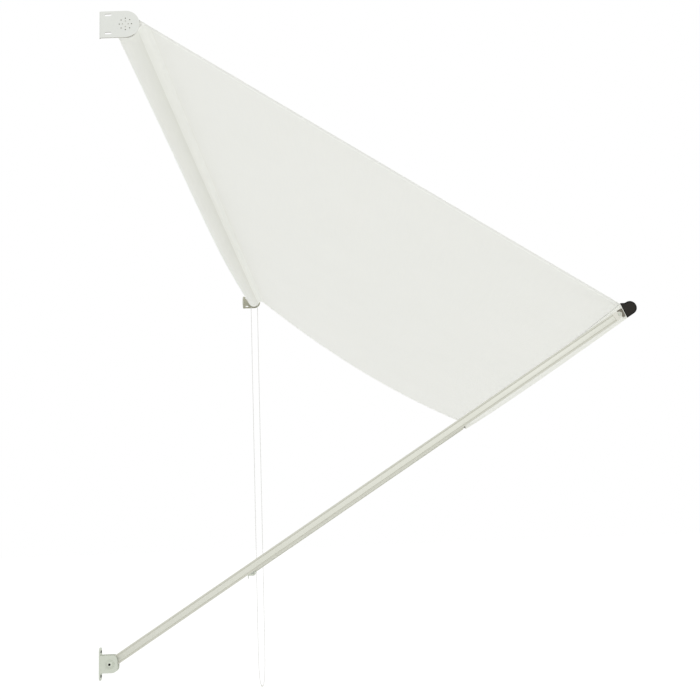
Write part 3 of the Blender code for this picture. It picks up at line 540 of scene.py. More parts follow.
def softened(node: str, body: Body, finish: Finish, edge: float) -> bpy.types.Object:
    """Copies a node's shape, merges its loose triangles and rounds its edges, then stands in for it.

    Args:
        node: CAD node to copy.
        body: Body that it rides on.
        finish: What it is dressed with.
        edge: Radius of its rounded edges.

    Returns:
        The piece.
    """
    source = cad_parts[node]
    shape = bmesh.new()
    shape.from_mesh(source.data)
    bmesh.ops.transform(shape, matrix=source.matrix_world, verts=shape.verts)
    bmesh.ops.remove_doubles(shape, verts=shape.verts, dist=JOIN)
    bmesh.ops.dissolve_limit(shape, angle_limit=FLAT, verts=shape.verts, edges=shape.edges)
    mesh = bpy.data.meshes.new(node + "_finished")
    shape.to_mesh(mesh)
    shape.free()
    mesh.materials.append(finish.material())
    mesh.shade_smooth()
    piece = bpy.data.objects.new(mesh.name, mesh)
    bpy.context.scene.collection.objects.link(piece)
    bevel = piece.modifiers.new("rounded_edges", "BEVEL")
    bevel.width, bevel.segments, bevel.limit_method = edge, 2, "ANGLE"
    bevel.harden_normals = True
    bevel.angle_limit = CRISP
    mesh.set_sharp_from_angle(angle=CRISP)
    return stand_in(piece, body, node)


def dress_faces(piece: bpy.types.Object, finish: Finish, choose: Callable[[Array, Array], Array]) -> None:
    """Gives some faces of a piece another finish.

    Args:
        piece: The piece.
        finish: What the chosen faces are dressed with.
        choose: Turns the faces' (n, 3) middles and (n, 3) normals into (n,) True where a face is chosen.
    """
    faces = piece.data.polygons
    middles, normals, index = np.empty(len(faces) * 3), np.empty(len(faces) * 3), np.empty(len(faces), np.int32)
    faces.foreach_get("center", middles)
    faces.foreach_get("normal", normals)
    faces.foreach_get("material_index", index)
    piece.data.materials.append(finish.material())
    index[choose(middles.reshape(-1, 3), normals.reshape(-1, 3))] = len(piece.data.materials) - 1
    faces.foreach_set("material_index", index)


def redress(node: str, finish: Finish) -> None:
    """Gives a CAD node that stays a better material."""
    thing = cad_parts[node]
    for slot in thing.material_slots:
        slot.material = finish.material()


# Sub-assemblies


@dataclass
class Cloth:
    """The canvas: the turns on the roller, the stretched sheet, its side hems and their stitching."""

    thickness: float = 0.6 * MM
    sag_left: float = 1 * MM
    sag_right: float = 68 * MM
    ripple: tuple[float, float] = (1 * MM, 9.0)  # its height, and its radians for each metre along the roller
    mouth: float = 1 * MM  # from the bar's tip to where the sheet enters its slit
    tuck: float = 0.1 * MM  # from the sheet's end to the groove's wall
    hem_width: float = 24 * MM
    stitch_spacing: float = 0.00225  # as a share of the way down, 3.6 mm
    stitch_step: float = 0.001  # the share over which a stitch's direction is measured
    stitch_profile: tuple[float, ...] = (-1.2, -0.7, 0.7, 1.2)  # mm from a stitch's middle, where it is thin or full
    hem_reach: tuple[float, float] = (0.02, 0.985)  # shares of the way down
    threads: tuple[float, float] = (0.3 * MM, 0.12 * MM)  # radius of the stitches above and below
    first_turn: float = 29.35 * MM  # inner radius of the turns
    stagger: float = 0.5 * MM  # between neighbouring turns at the roller's ends
    reach: float = 28 * MM
    sunk: float = 0.02 * MM
    inset: float = 1 * MM  # of the loose turn's ends from the cloth's edges
    seams: tuple[float, float] = (4 * MM, 21 * MM)  # rows of stitches, from the cloth's edge
    cells: tuple[int, int] = (160, 96)

    def ends(self, x: Array) -> tuple[Array, Array, Array]:
        """Where the sheet leaves the roller, where it enters the bar's slit and where it ends in its groove.

        Args:
            x: (n,) places along the roller.

        Returns:
            Three (n, 2) arrays of (out, up). The first lies on the turns where the sagging sheet is tangent to them:
            its angle is found by repeating top = radius * (sin a, cos a), a = slope of the sheet's first piece.
        """
        centre, tip = np.array(SIZES.groove_centre), np.array(SIZES.bar_tip)
        slit = (centre - tip) / np.linalg.norm(centre - tip)
        mouth = SIZES.bar_point(tip - slit * self.mouth)[0] + np.zeros((len(x), 2))
        inside = SIZES.bar_point(centre - slit * (SIZES.groove_radius - self.tuck))[0] + np.zeros((len(x), 2))
        mouth[:, 1] += SIZES.bow(x, SIZES.bar_bow)
        inside[:, 1] += SIZES.bow(x, SIZES.bar_bow)
        axis = SIZES.roller_axis(x)
        radius = (SIZES.turns_reach(x) - self.thickness / 2)[:, None]
        fall = np.full(len(x), 0.6)
        for _ in range(6):
            top = axis + radius * np.stack([np.sin(fall), np.cos(fall)], axis=1)
            run, drop = mouth[:, 0] - top[:, 0], top[:, 1] - mouth[:, 1]
            fall = np.arctan2(drop + 4 * self.depth(x), run)
        return top, mouth, inside

    def depth(self, x: Array) -> Array:
        """Sag at mid-length: it grows evenly from the left hem to the right one."""
        start, end = SIZES.at(End.LEFT, SIZES.cloth_left), SIZES.at(End.RIGHT, SIZES.cloth_right)
        return self.sag_left + (self.sag_right - self.sag_left) * (x - start) / (end - start)

    def place(self, x: Array, down: Array, below: float = 0.0) -> Array:
        """The sheet as a function of x and of the share of its way down.

        Args:
            x: (n,) places along the roller.
            down: (m,) shares from 0 at the roller to 1 at the bar's slit, and on to 2 in its groove.
            below: Distance under the sheet's middle plane.

        Returns:
            (n, m, 3) places: the straight line between the two ends, less 4 * depth * t * (1 - t), with slow
            ripples that die out at the ends, moved by below along the slope's square.
        """
        top, mouth, inside = (place[:, None, :] for place in self.ends(x))
        open_part, tucked = np.minimum(down, 1), np.maximum(down - 1, 0)[None, :, None]
        t = open_part[None, :, None]
        section = top * (1 - t) + mouth * t + (inside - mouth) * tucked
        hang = 4 * self.depth(x)[:, None] * open_part * (1 - open_part)
        high, often = self.ripple
        section[..., 1] += high * np.sin(x * often)[:, None] * np.sin(np.pi * open_part) ** 2 - hang
        slope = np.gradient(section, axis=1)
        slope /= np.linalg.norm(slope, axis=2, keepdims=True)
        section = section + below * np.stack([slope[..., 1], -slope[..., 0]], axis=-1)
        return np.stack([np.broadcast_to(x[:, None], section.shape[:2]), -section[..., 0], section[..., 1]], axis=-1)

    def sheet(self, name: str, x: Array, down: Array, below: float, finish: Finish) -> bpy.types.Object:
        """A strip of cloth over those x and shares, closed by a Solidify of the cloth's thickness.

        Args:
            name: Piece name.
            x: (n,) places along the roller.
            down: (m,) shares down the slope.
            below: Distance under the sheet's middle plane.
            finish: What it is dressed with.

        Returns:
            The piece, with a UV map in metres.
        """
        points = self.place(x, down, below)
        run = np.linalg.norm(np.diff(points.mean(axis=0), axis=0), axis=1)
        length = np.concatenate([[0], np.cumsum(run)])
        uv = np.stack(np.meshgrid(x, length, indexing="ij"), axis=-1)
        piece = mesh_piece(name, points, grid_faces(len(x), len(down), False), finish, uv=uv)
        wall = piece.modifiers.new("cloth_thickness", "SOLIDIFY")
        wall.thickness, wall.offset = self.thickness, 0
        # Painted light: the cut edges take the opaque canvas, painted lighter than the sheet
        piece.data.materials.append(Finishes.LOOSE_LIT.material())
        wall.material_offset_rim = 1
        return piece

    def stitches(self, name: str, rows: Sequence[float], below: float, radius: float) -> bpy.types.Object:
        """Lock stitches along the hems: small six-sided beads of thread, each 2.4 mm long.

        Args:
            name: Piece name.
            rows: X of each row.
            below: Distance of the thread's middle under the sheet's middle plane.
            radius: Radius of the thread where it is thickest.

        Returns:
            The piece.
        """
        start, end = self.hem_reach
        t = np.arange(start + 2 * self.stitch_step, end - self.stitch_step, self.stitch_spacing)
        spans, corners = np.array(self.stitch_profile) * MM, 6
        radii = np.tile(np.array([0.3, 1, 1, 0.3]) * radius, len(t))
        each = len(spans) * corners
        tube = grid_faces(len(spans), corners, True)
        caps = np.array([np.arange(corners)[::-1], np.arange(each - corners, each)])
        points, faces = [], []
        for row, x in enumerate(rows):
            line = self.place(np.array([x]), np.sort(np.concatenate([t, t + self.stitch_step])), below)[0]
            along = line[1::2] - line[0::2]
            along /= np.linalg.norm(along, axis=1, keepdims=True)
            centres = line[0::2, None] + spans[:, None] * along[:, None]
            points.append(rings_along(centres.reshape(-1, 3), np.repeat(along, len(spans), axis=0), radii, corners))
            offsets = (row * len(t) + np.arange(len(t)))[:, None, None] * each
            for pattern in (tube, caps):
                faces += (pattern + offsets).reshape(-1, pattern.shape[1]).tolist()
        return mesh_piece(name, np.concatenate(points), faces, Finishes.THREAD, 60)

    def turns(self) -> bpy.types.Object:
        """The turns left on the roller: a tube of their radius, bowed with it, whose two ends show the wound layers."""
        x = np.linspace(SIZES.at(End.LEFT, SIZES.cloth_left), SIZES.at(End.RIGHT, SIZES.cloth_right), 61)
        layers = np.linspace(self.first_turn, SIZES.turns_radius, 7)[:-1]
        wave = np.arange(len(layers)) % 2 * self.stagger
        radii = np.concatenate([layers, SIZES.turns_reach(x), layers[::-1]])
        places = np.concatenate([x[0] + wave, x, x[-1] - wave[::-1]])
        turn = np.radians(np.arange(0, 360, 5))
        points, faces = roller_shell(places, radii, turn)
        uv = np.stack(np.meshgrid(places, turn * SIZES.turns_radius, indexing="ij"), axis=-1)
        piece = mesh_piece("cloth_turns_on_roller", points, faces, Finishes.WOUND, uv=uv)
        return stand_in(piece, Body.ROLLER, "cloth_turns")

    def loose_turn(self) -> bpy.types.Object:
        """The loose outer turn where it fills the corner between roller and sheet.

        Returns:
            The piece: at each x a curve (1-t)^2 a + 2t(1-t) b + t^2 c, tangent to the sheet's under side at a and to
            the roller at c. Both tangents meet at b, reach from where the sheet leaves the roller. Both ends lie
            sunk below the surfaces that they meet.
        """
        x = np.linspace(SIZES.at(End.LEFT, SIZES.cloth_left + self.inset),
                        SIZES.at(End.RIGHT, SIZES.cloth_right + self.inset), 81)
        top, mouth, _ = self.ends(x)
        axis = SIZES.roller_axis(x)
        radius = SIZES.turns_reach(x) - self.sunk
        level = radius - self.thickness + 2 * self.sunk
        fall = np.arctan2(*(top - axis).T)
        share = 2 * self.reach / np.linalg.norm(mouth - top, axis=1).mean()
        under = self.thickness / 2 - self.sunk
        start = self.place(x, np.array([share, share + 0.01]), under)[:, 0, 1:] * (-1, 1)
        square, ahead = np.stack([np.sin(fall), np.cos(fall)], axis=1), np.stack([np.cos(fall), -np.sin(fall)], axis=1)
        corner = axis + level[:, None] * square + self.reach * ahead
        spread = np.arctan(self.reach / level) + np.arccos(radius / np.hypot(level, self.reach))
        turns = fall + np.linspace(1, 0, 7)[:, None] * spread
        inner = np.stack([np.sin(turns), np.cos(turns)], axis=-1)
        end = axis + radius[:, None] * inner[0]
        inner = axis + (radius - self.thickness)[:, None] * inner
        t = np.linspace(0, 1, 13)[:, None, None]
        section = np.concatenate([(1 - t) ** 2 * start + 2 * t * (1 - t) * corner + t**2 * end, inner])
        rings = np.stack([np.broadcast_to(x, section.shape[:2]), -section[..., 0], section[..., 1]], axis=-1)
        rings = rings.transpose(1, 0, 2)
        run = np.linalg.norm(np.diff(rings, axis=1), axis=2).cumsum(axis=1)
        uv = np.stack([rings[..., 0], np.pad(run, ((0, 0), (1, 0)))], axis=-1)
        # Painted light: the loose turn is opaque canvas painted lighter than the sheet
        return swept_piece("loose_outer_turn", rings, Finishes.LOOSE_LIT, 50, uv)

    def build(self) -> list[bpy.types.Object]:
        """Makes the turns, the sheet, its hems and stitches.

        Returns:
            The pieces.
        """
        left, right = SIZES.at(End.LEFT, SIZES.cloth_left), SIZES.at(End.RIGHT, SIZES.cloth_right)
        across, along = self.cells
        x, down = np.linspace(left, right, across + 1), np.append(np.linspace(0, 1, along + 1), 2.0)
        sheet = self.sheet("canvas_sheet", x, down, 0, Finishes.CANVAS)
        middle, hemmed = (left + right) / 2, (right - left) / 2 - self.hem_width
        # Painted light: the sheet's doubled hem zones take the opaque canvas, painted lighter than the sheet
        dress_faces(sheet, Finishes.LOOSE_LIT, lambda middles, normals: np.abs(middles[:, 0] - middle) > hemmed)
        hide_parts("cloth")
        below = -self.thickness - self.sunk  # the hems are folded to the upper side
        hem_down = np.linspace(*self.hem_reach, along + 1)
        bands = {"left_side_hem": (left, left + self.hem_width), "right_side_hem": (right - self.hem_width, right)}
        # Painted light: the hems are painted lighter than the sheet
        hems = [self.sheet(name, np.linspace(*band, 5), hem_down, below, Finishes.HEM_LIT) for name, band in bands.items()]
        rows = [left + i for i in self.seams] + [right - i for i in self.seams]
        threads = [self.stitches("hem_stitches_above", rows, below - self.thickness / 2, self.threads[0]),
                   self.stitches("hem_stitches_below", rows, self.thickness / 2, self.threads[1])]
        loose = self.loose_turn()
        soft = [sheet, *hems, *threads, loose]
        top, mouth, _ = self.ends(np.array([(left + right) / 2]))
        for piece in soft:
            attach(piece, Body.WALL.value)
            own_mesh(piece)
        length = float(np.linalg.norm(np.diff(self.place(x, down)[across // 2], axis=0), axis=1).sum())
        return [*soft, self.turns()]


@dataclass
class BeadChain:
    """The endless chain: moulded beads on a cord, in two strands from the wheel to its loop, with its joiner."""

    bead: float = 4.5 * MM
    pitch: float = 6 * MM
    cord: float = 1.5 * MM
    inward: float = 9 * MM
    sides: int = 8
    steps: int = 3
    joiner_half: float = 9.5 * MM
    joiner_radius: float = 3.1 * MM
    joiner_waist: float = 0.5 * MM
    joiner_lip: float = 0.8 * MM
    route: Array = field(default_factory=lambda: np.array([
        (-0.0012, 0.0210), (-0.0114, 0.0176), (-0.0189, 0.0093), (-0.0210, 0.0000), (-0.0210, -0.0150),
        (-0.0210, -0.3000), (-0.0210, -0.8000), (-0.0210, -1.4000), (-0.0210, -2.0000), (-0.0206, -2.2600),
        (-0.0190, -2.3600), (-0.0155, -2.4200), (-0.0095, -2.4610), (0.0000, -2.4760), (0.0095, -2.4610),
        (0.0155, -2.4200), (0.0190, -2.3600), (0.0206, -2.2600), (0.0210, -2.0000), (0.0210, -1.4000),
        (0.0210, -0.8000), (0.0210, -0.3000), (0.0210, -0.0150), (0.0210, 0.0000), (0.0189, 0.0093),
        (0.0114, 0.0176), (0.0012, 0.0210)]))

    def line(self) -> Array:
        """The smooth route: for each stretch b-c between a and d, the cubic that leaves b along c-a and meets c along
        d-b, sampled steps times.

        Returns:
            (n, 3) places in the row frame.
        """
        p = np.concatenate([self.route[:1], self.route, self.route[-1:]])
        a, b, c, d = p[:-3, None], p[1:-2, None], p[2:-1, None], p[3:, None]
        t = (np.arange(self.steps) / self.steps)[None, :, None]
        curve = b + 0.5 * t * ((c - a) + t * (2 * a - 5 * b + 4 * c - d + t * (3 * (b - c) + d - a)))
        flat = np.concatenate([curve.reshape(-1, 2), self.route[-1:]])
        x = np.full(len(flat), SIZES.at(End.RIGHT, self.inward))
        return np.stack([x, -(SIZES.axis_out + flat[:, 0]), flat[:, 1]], axis=1)

    def build(self) -> list[bpy.types.Object]:
        """Makes the chain: rings along the route whose radius swells from cord to bead and back at every pitch.

        Returns:
            The pieces.
        """
        line = self.line()
        reach = np.concatenate([[0], np.cumsum(np.linalg.norm(np.diff(line, axis=0), axis=1))])
        count = int(reach[-1] / self.pitch)
        pitch = reach[-1] / count
        radius, thin = self.bead / 2, self.cord / 2
        half = math.sqrt(radius**2 - thin**2)
        lift = np.array([-1.0, -0.6, 0.0, 0.6, 1.0]) * half
        profile = np.sqrt(np.maximum(radius**2 - lift**2, thin**2))
        s = ((np.arange(count) + 0.5)[:, None] * pitch + lift[None, :]).ravel()
        radii = np.tile(profile, count)
        along = points_at(line, reach, s + MM) - points_at(line, reach, s - MM)
        along /= np.linalg.norm(along, axis=1, keepdims=True)
        rings = rings_along(points_at(line, reach, s), along, radii, self.sides)
        chain = stand_in(swept_piece("bead_chain_strand", rings, Finishes.BEADS, 80), Body.WALL, "bead_chain")
        joiner = self.joiner(line, reach)
        LOG.info("bead chain: %.3f m round, %d beads", reach[-1], count)
        return [chain, joiner]

    def joiner(self, line: Array, reach: Array) -> bpy.types.Object:
        """The snap link that closes the chain at its lowest point: a waisted sleeve over three beads."""
        span = np.linspace(-self.joiner_half, self.joiner_half, 15)
        radii = self.joiner_radius - self.joiner_waist * np.cos(np.pi * span / self.joiner_half) ** 2
        radii[[0, -1]] -= self.joiner_lip
        centres = points_at(line, reach, reach[-1] / 2 + span)
        along = np.gradient(centres, axis=0)
        along /= np.linalg.norm(along, axis=1, keepdims=True)
        piece = swept_piece("chain_joiner", rings_along(centres, along, radii, 18), Finishes.WHITE_PLASTIC, 50)
        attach(piece, Body.WALL.value)
        return piece


@dataclass
class FrontBar:
    """The front bar: a hollow extrusion with a round nose and a keder groove, its end caps and its hinge blocks."""

    back_low: tuple[float, float] = (9.3 * MM, -19.9 * MM)
    nose_centre: tuple[float, float] = (31.5 * MM, -1.3 * MM)
    nose_radius: float = 18.6 * MM
    neck_start: tuple[float, float] = (5.2 * MM, -2.9 * MM)  # from the tip
    neck_pull: tuple[float, float] = (27.0 * MM, 17.1 * MM)
    low_corner: float = 1.5 * MM
    cap_middle: tuple[float, float] = (27 * MM, -1.5 * MM)
    slit: float = 1.7 * MM
    rod_gap: float = 0.4 * MM
    blunt: float = 2.2 * MM
    inward: float = 8 * MM
    cap: float = 3 * MM
    rim: float = 3.2 * MM
    recess: float = 0.9 * MM

    def outline(self, grooved: bool) -> Array:
        """The section: flat back, flat under side, round nose, hollow neck and a thin tip that holds the hem.

        Args:
            grooved: True for the extrusion, False for the cap over it.

        Returns:
            (n, 2) places from the head pin.
        """
        tip, low = np.array(SIZES.bar_tip), np.array(self.back_low)
        nose = arc(self.nose_centre, self.nose_radius, -90, 92, 44)
        back = (low - tip) / np.linalg.norm(low - tip)
        neck = curved(tip + np.array(self.neck_start), self.neck_pull, nose[-1], 8)[::-1]
        corner = curved(low - back * self.low_corner, low, low + np.array([self.low_corner, 0]), 4)
        top = (neck[-1] - tip) / np.linalg.norm(neck[-1] - tip)
        if not grooved:
            return np.concatenate([corner, nose, neck[1:], [tip + top * self.blunt / 2, tip + back * self.blunt / 2]])
        centre = np.array(SIZES.groove_centre)
        way = (centre - tip) / np.linalg.norm(centre - tip)
        side = np.array([-way[1], way[0]])
        mouth = tip + way * self.blunt
        opening = math.degrees(math.atan2(-way[1], -way[0]))
        spread = math.degrees(math.asin(self.slit / 2 / SIZES.groove_radius))
        groove = arc(centre, SIZES.groove_radius, opening - spread, opening + spread - 360, 24)
        return np.concatenate([corner, nose, neck[1:], [tip + top * self.blunt * 1.3, mouth + side * self.slit / 2],
                               groove, [mouth - side * self.slit / 2, tip + back * self.blunt * 1.3]])

    def end_cap(self, end: End) -> bpy.types.Object:
        """A cap: the outline at three depths, then a rim and a shallow recess in its outer face.

        Args:
            end: Which end.

        Returns:
            The piece. Ring k is the outline moved inwards by inset k along its own normals.
        """
        outline = self.outline(False)
        before, after = np.roll(outline, 1, axis=0), np.roll(outline, -1, axis=0)
        way = (after - before) / np.linalg.norm(after - before, axis=1, keepdims=True)
        inner = np.stack([-way[:, 1], way[:, 0]], axis=1)
        centre = np.array(self.cap_middle)
        rings = []
        for depth, inset in ((self.cap, 0.0), (0.5 * MM, 0.0), (0.0, 0.5 * MM), (0.0, self.rim * 0.75),
                             (self.recess * 0.5, self.rim), (self.recess, self.rim + 0.3 * MM)):
            ring = outline + inner * inset
            if inset > MM:
                ring = outline + (centre - outline) * (inset / np.linalg.norm(centre - outline, axis=1))[:, None]
            rings.append(extrude(SIZES.bar_point(ring), np.array([SIZES.at(end, self.inward + depth)]))[0])
        piece = swept_piece(f"{end.value}_bar_cap", np.array(rings), Finishes.BLACK_RIM, 50)
        piece.data.materials.append(Finishes.BLACK_PLASTIC.material())
        piece.data.polygons[len(piece.data.polygons) - 1].material_index = 1
        return stand_in(piece, Body.BAR, f"{end.value}_end_cap")

    def build(self) -> list[bpy.types.Object]:
        """Makes the bowed extrusion with the hem rod in its groove, the caps, hinge blocks and pins.

        Returns:
            The pieces.
        """
        inward = self.inward + self.cap
        x = np.linspace(SIZES.at(End.LEFT, inward), SIZES.at(End.RIGHT, inward), 61)
        shape = extrude(SIZES.bar_point(self.outline(True)), x, SIZES.bow(x, SIZES.bar_bow))
        bar = stand_in(swept_piece("front_bar_extrusion", shape, Finishes.BAR, 30), Body.BAR, "front_bar")
        x = np.linspace(SIZES.at(End.LEFT, SIZES.cloth_left), SIZES.at(End.RIGHT, SIZES.cloth_right), 61)
        rod = SIZES.bar_point(arc(SIZES.groove_centre, SIZES.groove_radius - self.rod_gap, 0, 345, 23))
        rod = swept_piece("hem_rod_in_groove", extrude(rod, x, SIZES.bow(x, SIZES.bar_bow)), Finishes.WHITE_PLASTIC)
        made = [bar, stand_in(rod, Body.BAR, "hem_rod"), *(self.end_cap(end) for end in End)]
        for end in End:
            made.append(softened(f"{end.value}_hinge_block", Body.BAR, Finishes.GREY_PLASTIC, 0.5 * MM))
            made.append(softened(f"{end.value}_head_pin", Body.BAR, Finishes.CREAM_STEEL, 0.2 * MM))
        return made


@dataclass
class Arms:
    """The two arms: flat tubes with two fine grooves on each side, a foot plug and a head plug."""

    width: float = 15 * MM
    depth: float = 24 * MM
    corner: float = 3.2 * MM
    groove: tuple[float, float] = (2.4 * MM, 1.1 * MM)
    start: float = 16 * MM
    end: float = 1632.7 * MM
    end_edge: float = 0.6 * MM
    line_inset: float = 0.3 * MM  # from a corner's end to its groove

    def section(self) -> Array:
        """The tube's section: a rounded rectangle whose sides carry two V grooves near their edges.

        Returns:
            (n, 2) places as (across, up), counter-clockwise.
        """
        half, high, r = self.width / 2, self.depth / 2, self.corner
        wide, deep = self.groove
        line = high - r - self.line_inset - wide / 2
        lines = np.array([(0, -line - wide / 2), (-deep, -line), (0, wide / 2 - line)])
        side = np.concatenate([lines, lines[::-1] * (1, -1)])
        right = side + np.array([half, 0])
        parts = [arc((half - r, r - high), r, -90, 0, 8), right, arc((half - r, high - r), r, 0, 90, 8)]
        one = np.concatenate(parts)
        return np.concatenate([one, -one])

    def build(self) -> list[bpy.types.Object]:
        """Makes both tubes by carrying the section along each arm, and finishes their plugs.

        Returns:
            The pieces.
        """
        made = []
        along = np.array([math.cos(SIZES.arm_angle), math.sin(SIZES.arm_angle)])
        above = np.array([-along[1], along[0]])
        section, edge = self.section(), self.end_edge
        insets = (edge, 0.0, 0.0, edge)
        steps = (self.start, self.start + edge, self.end - edge, self.end)
        for end, body in ((End.LEFT, Body.LEFT_ARM), (End.RIGHT, Body.RIGHT_ARM)):
            rings = np.empty((len(steps), len(section), 3))
            for ring, step, inset in zip(rings, steps, insets):
                small = section * (1 - inset / np.linalg.norm(section, axis=1))[:, None]
                place = np.array([SIZES.pivot_out, -SIZES.pivot_drop]) + step * along + small[:, 1:] * above
                ring[:, 0] = SIZES.at(end, SIZES.arm_inward) + small[:, 0]
                ring[:, 1], ring[:, 2] = -place[:, 0], place[:, 1]
            tube = swept_piece(f"{end.value}_arm_extrusion", rings, Finishes.ARM, 40)
            # Painted shade: the corners and grooves take the darker coat
            dress_faces(tube, Finishes.ARM_EDGE_SHADE, self.near_edges)
            made.append(stand_in(tube, body, f"{end.value}_arm_tube"))
            for plug in ("foot", "head"):
                made.append(softened(f"{end.value}_arm_{plug}", body, Finishes.CREAM_PLASTIC, 0.4 * MM))
        return made

    def near_edges(self, middles: Array, normals: Array) -> Array:
        """True on an arm's corners and grooves: farther from its middle line than the grooves' inner edges."""
        out, up = -middles[:, 1] - SIZES.pivot_out, middles[:, 2] + SIZES.pivot_drop
        square = up * math.cos(SIZES.arm_angle) - out * math.sin(SIZES.arm_angle)
        return np.abs(square) > self.depth / 2 - self.corner - self.line_inset - self.groove[0]


@dataclass
class Roller:
    """The roller tube, bowed under its own weight and the cloth's, with its plugs and chain wheel."""

    radius: float = 29 * MM
    wall: float = 1.2 * MM
    start: float = 9.3 * MM
    end: float = 19.3 * MM

    def build(self) -> list[bpy.types.Object]:
        """Makes the tube as rings out along its outer skin and back along its inner one.

        Returns:
            The pieces.
        """
        x = np.linspace(SIZES.at(End.LEFT, self.start), SIZES.at(End.RIGHT, self.end), 61)
        places, radii = np.concatenate([x, x[::-1]]), np.repeat([self.radius, self.radius - self.wall], len(x))
        points, faces = roller_shell(places, radii, np.radians(np.arange(0, 360, 6)))
        tube = mesh_piece("roller_tube_bowed", points, faces, Finishes.ZINC)
        made = [stand_in(tube, Body.ROLLER, "roller_tube", "roller_keder")]
        for node in ("idler_plug", "drive_plug", "chain_wheel"):
            made.append(softened(node, Body.ROLLER, Finishes.WHITE_PLASTIC, 0.3 * MM))
        return made


@dataclass
class WallParts:
    """What is fixed to the wall: top brackets, hubs, the chain's guard, lower brackets and their hardware."""

    edge: float = 0.5 * MM
    fine_edge: float = 0.25 * MM
    slot_up: float = 31 * MM  # screw slots above and below the bolt
    slot_half: tuple[float, float] = (7.2 * MM, 3.4 * MM)
    slot_depth: tuple[float, float] = (0.1 * MM, 2.9 * MM)
    socket_radius: float = 3.4 * MM
    socket_depth: tuple[float, float] = (6.0 * MM, 9.4 * MM)

    def build(self) -> list[bpy.types.Object]:
        """Rounds and dresses each fixed part.

        Returns:
            The pieces.
        """
        made = []
        for end in End:
            side = end.value
            inward = 1 if end is End.LEFT else -1
            top = softened(f"{side}_top_bracket", Body.WALL, Finishes.BRACKET, self.edge)
            # Painted shade: the faces turned inboard take the darker coat
            dress_faces(top, Finishes.INBOARD_SHADE, lambda middles, normals: normals[:, 0] * inward > 0.5)
            # Painted shade: the downward faces take darker steel
            dress_faces(top, Finishes.UNDERSIDE_SHADE, lambda middles, normals: normals[:, 2] < -0.8)
            lower = softened(f"{side}_lower_bracket", Body.WALL, Finishes.CREAM_STEEL, self.edge)
            # Painted shade: near-black on the walls of the screw slots
            dress_faces(lower, Finishes.HOLE_SHADE, self.in_screw_slots)
            bolt = softened(f"{side}_pivot_bolt", Body.WALL, Finishes.CREAM_STEEL, self.fine_edge)
            # Painted shade: near-black inside the bolt's socket
            dress_faces(bolt, Finishes.HOLE_SHADE, self.in_socket)
            made += [top, lower, bolt]
            for node in ("pivot_nut", "outer_washer"):
                made.append(softened(f"{side}_{node}", Body.WALL, Finishes.CREAM_STEEL, self.fine_edge))
            for node in ("inner_washer", "outer_spacer", "inner_spacer"):
                redress(f"{side}_{node}", Finishes.ZINC)
        for node in ("idler_hub", "clutch_hub", "chain_guard"):
            made.append(softened(node, Body.WALL, Finishes.WHITE_PLASTIC, 0.3 * MM))
        redress("wrap_spring", Finishes.WIRE)
        return made

    def in_screw_slots(self, middles: Array, normals: Array) -> Array:
        """True on the walls of a lower bracket's two screw slots."""
        level, (out, deep) = np.abs(np.abs(middles[:, 2] + SIZES.pivot_drop) - self.slot_up), self.slot_depth
        across = np.minimum(*(np.abs(middles[:, 0] - SIZES.at(end, SIZES.arm_inward)) for end in End))
        return (level < self.slot_half[1]) & (-middles[:, 1] > out) & (-middles[:, 1] < deep) & (
            np.abs(normals[:, 1]) < 0.5) & (across < self.slot_half[0])

    def in_socket(self, middles: Array, normals: Array) -> Array:
        """True inside a bolt's hexagon socket: near its axis and below its outer face."""
        radius = np.hypot(middles[:, 1] + SIZES.pivot_out, middles[:, 2] + SIZES.pivot_drop)
        inward, (near, far) = np.minimum(middles[:, 0] - SIZES.left, SIZES.right - middles[:, 0]), self.socket_depth
        return (radius < self.socket_radius) & (inward > near) & (inward < far)


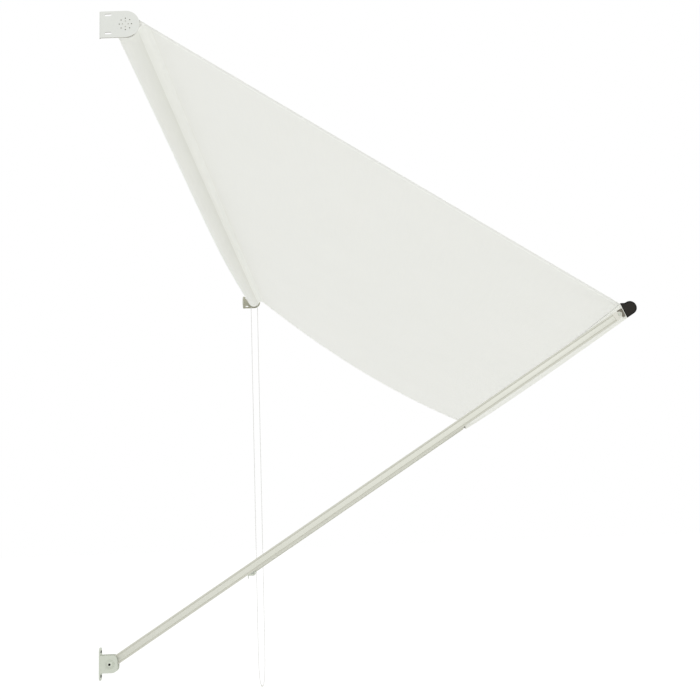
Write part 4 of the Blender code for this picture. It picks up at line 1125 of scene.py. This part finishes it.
@dataclass
class Studio:
    """The camera where the photographer stood, the floor, and soft even light."""

    place: tuple[float, float, float] = (-2.7720, -0.6670, -1.3884)
    heading: float = 0.0055
    tilt: float = 0.1532
    roll: float = -0.0355
    image: int = 700
    focal: float = 1028.3  # in pixels of the image
    sensor: float = 36.0
    floor: float = -2.62
    floor_glow: float = 0.87  # to the camera alone
    world: float = 0.93
    key: float = 0.45
    key_turn: tuple[float, float] = (38.0, -46.0)  # degrees about X and Y
    key_spread: float = 30.0  # degrees

    def camera(self) -> bpy.types.Object:
        """Sets the camera: it looks along +X, turned by heading, tilted up and rolled."""
        cy, sy, cp, sp = math.cos(self.heading), math.sin(self.heading), math.cos(self.tilt), math.sin(self.tilt)
        ahead = np.array([cp * cy, -cp * sy, sp])
        right, up = np.array([-sy, -cy, 0.0]), np.array([-sp * cy, sp * sy, cp])
        cr, sr = math.cos(self.roll), math.sin(self.roll)
        turned = np.stack([cr * right + sr * up, cr * up - sr * right, -ahead], axis=1)
        data = bpy.data.cameras.new("photo_camera")
        data.sensor_width, data.lens = self.sensor, self.focal * self.sensor / self.image
        data.clip_end = 100
        camera = bpy.data.objects.new("photo_camera", data)
        camera.matrix_world = Matrix.Translation(self.place) @ Matrix(turned.tolist()).to_4x4()
        bpy.context.scene.collection.objects.link(camera)
        bpy.context.scene.camera = camera
        return camera

    def stage(self) -> None:
        """Lays a pale floor well below the chain, which keeps the awning's shadow and is white to the camera."""
        x, y, reach = 2.0, -0.7, 30.0
        points = [(x + i * reach, y + j * reach, self.floor) for i, j in ((-1, -1), (1, -1), (1, 1), (-1, 1))]
        mesh = bpy.data.meshes.new("floor")
        mesh.from_pydata(points, [], [[0, 1, 2, 3]])
        material = bpy.data.materials.new("pale_floor")
        material.use_nodes = True
        tree = material.node_tree
        shader = tree.nodes["Principled BSDF"]
        shader.inputs["Roughness"].default_value = 0.9
        shader.inputs["Specular IOR Level"].default_value = 0.0
        seen = add_node(tree, "LightPath").outputs["Is Camera Ray"]
        base = add_node(tree, "Mix", {"Factor": seen, 6: linear("f4f4f2"), 7: (0.2, 0.2, 0.2, 1)}, data_type="RGBA")
        tree.links.new(base.outputs[2], shader.inputs["Base Color"])
        glow = add_node(tree, "Math", {0: seen, 1: self.floor_glow}, operation="MULTIPLY")
        shader.inputs["Emission Color"].default_value = (1, 1, 1, 1)
        tree.links.new(glow.outputs[0], shader.inputs["Emission Strength"])
        mesh.materials.append(material)
        floor = bpy.data.objects.new("floor", mesh)
        bpy.context.scene.collection.objects.link(floor)
        floor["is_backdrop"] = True

    def light(self) -> None:
        """Lights it by an even world, white to camera, gloss and glass, and a broad soft key from the front left."""
        world = bpy.data.worlds.new("studio")
        bpy.context.scene.world = world
        world.use_nodes = True
        tree = world.node_tree
        rays = add_node(tree, "LightPath")
        seen = add_node(tree, "Math", {0: rays.outputs["Is Camera Ray"], 1: rays.outputs["Is Glossy Ray"]},
                        operation="ADD")
        seen = add_node(tree, "Math", {0: seen.outputs[0], 1: rays.outputs["Is Transmission Ray"]},
                        operation="ADD", use_clamp=True)
        strength = add_node(tree, "MapRange", {"Value": seen.outputs[0], "To Min": self.world, "To Max": 1.0})
        background = tree.nodes["Background"]
        background.inputs["Color"].default_value = (1, 1, 1, 1)
        tree.links.new(strength.outputs["Result"], background.inputs["Strength"])
        data = bpy.data.lights.new("key", "SUN")
        data.energy, data.angle = self.key, math.radians(self.key_spread)
        key = bpy.data.objects.new("key", data)
        key.rotation_euler = (*map(math.radians, self.key_turn), 0)
        bpy.context.scene.collection.objects.link(key)

    def build(self) -> None:
        """Sets camera, floor and light."""
        self.camera()
        self.stage()
        self.light()
        bpy.context.scene.view_settings.view_transform = "Standard"


def corners() -> list[list[float]]:
    """The shown object's lowest and highest corner as plain lists."""
    return [[float(c) for c in corner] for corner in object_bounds()]


def main() -> None:
    """Builds the sub-assemblies in order and reports each piece."""
    logging.basicConfig(level=logging.INFO, format="%(name)s: %(message)s")
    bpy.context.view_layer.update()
    Studio().build()
    groups = {"chain": BeadChain(), "cloth": Cloth(), "front bar": FrontBar(), "arms": Arms(), "roller": Roller(),
              "wall parts": WallParts()}
    for title, group in groups.items():
        for piece in group.build():
            LOG.info("%s: %s, %d faces", title, piece.name, len(piece.data.polygons))


if __name__ == "__main__":
    main()
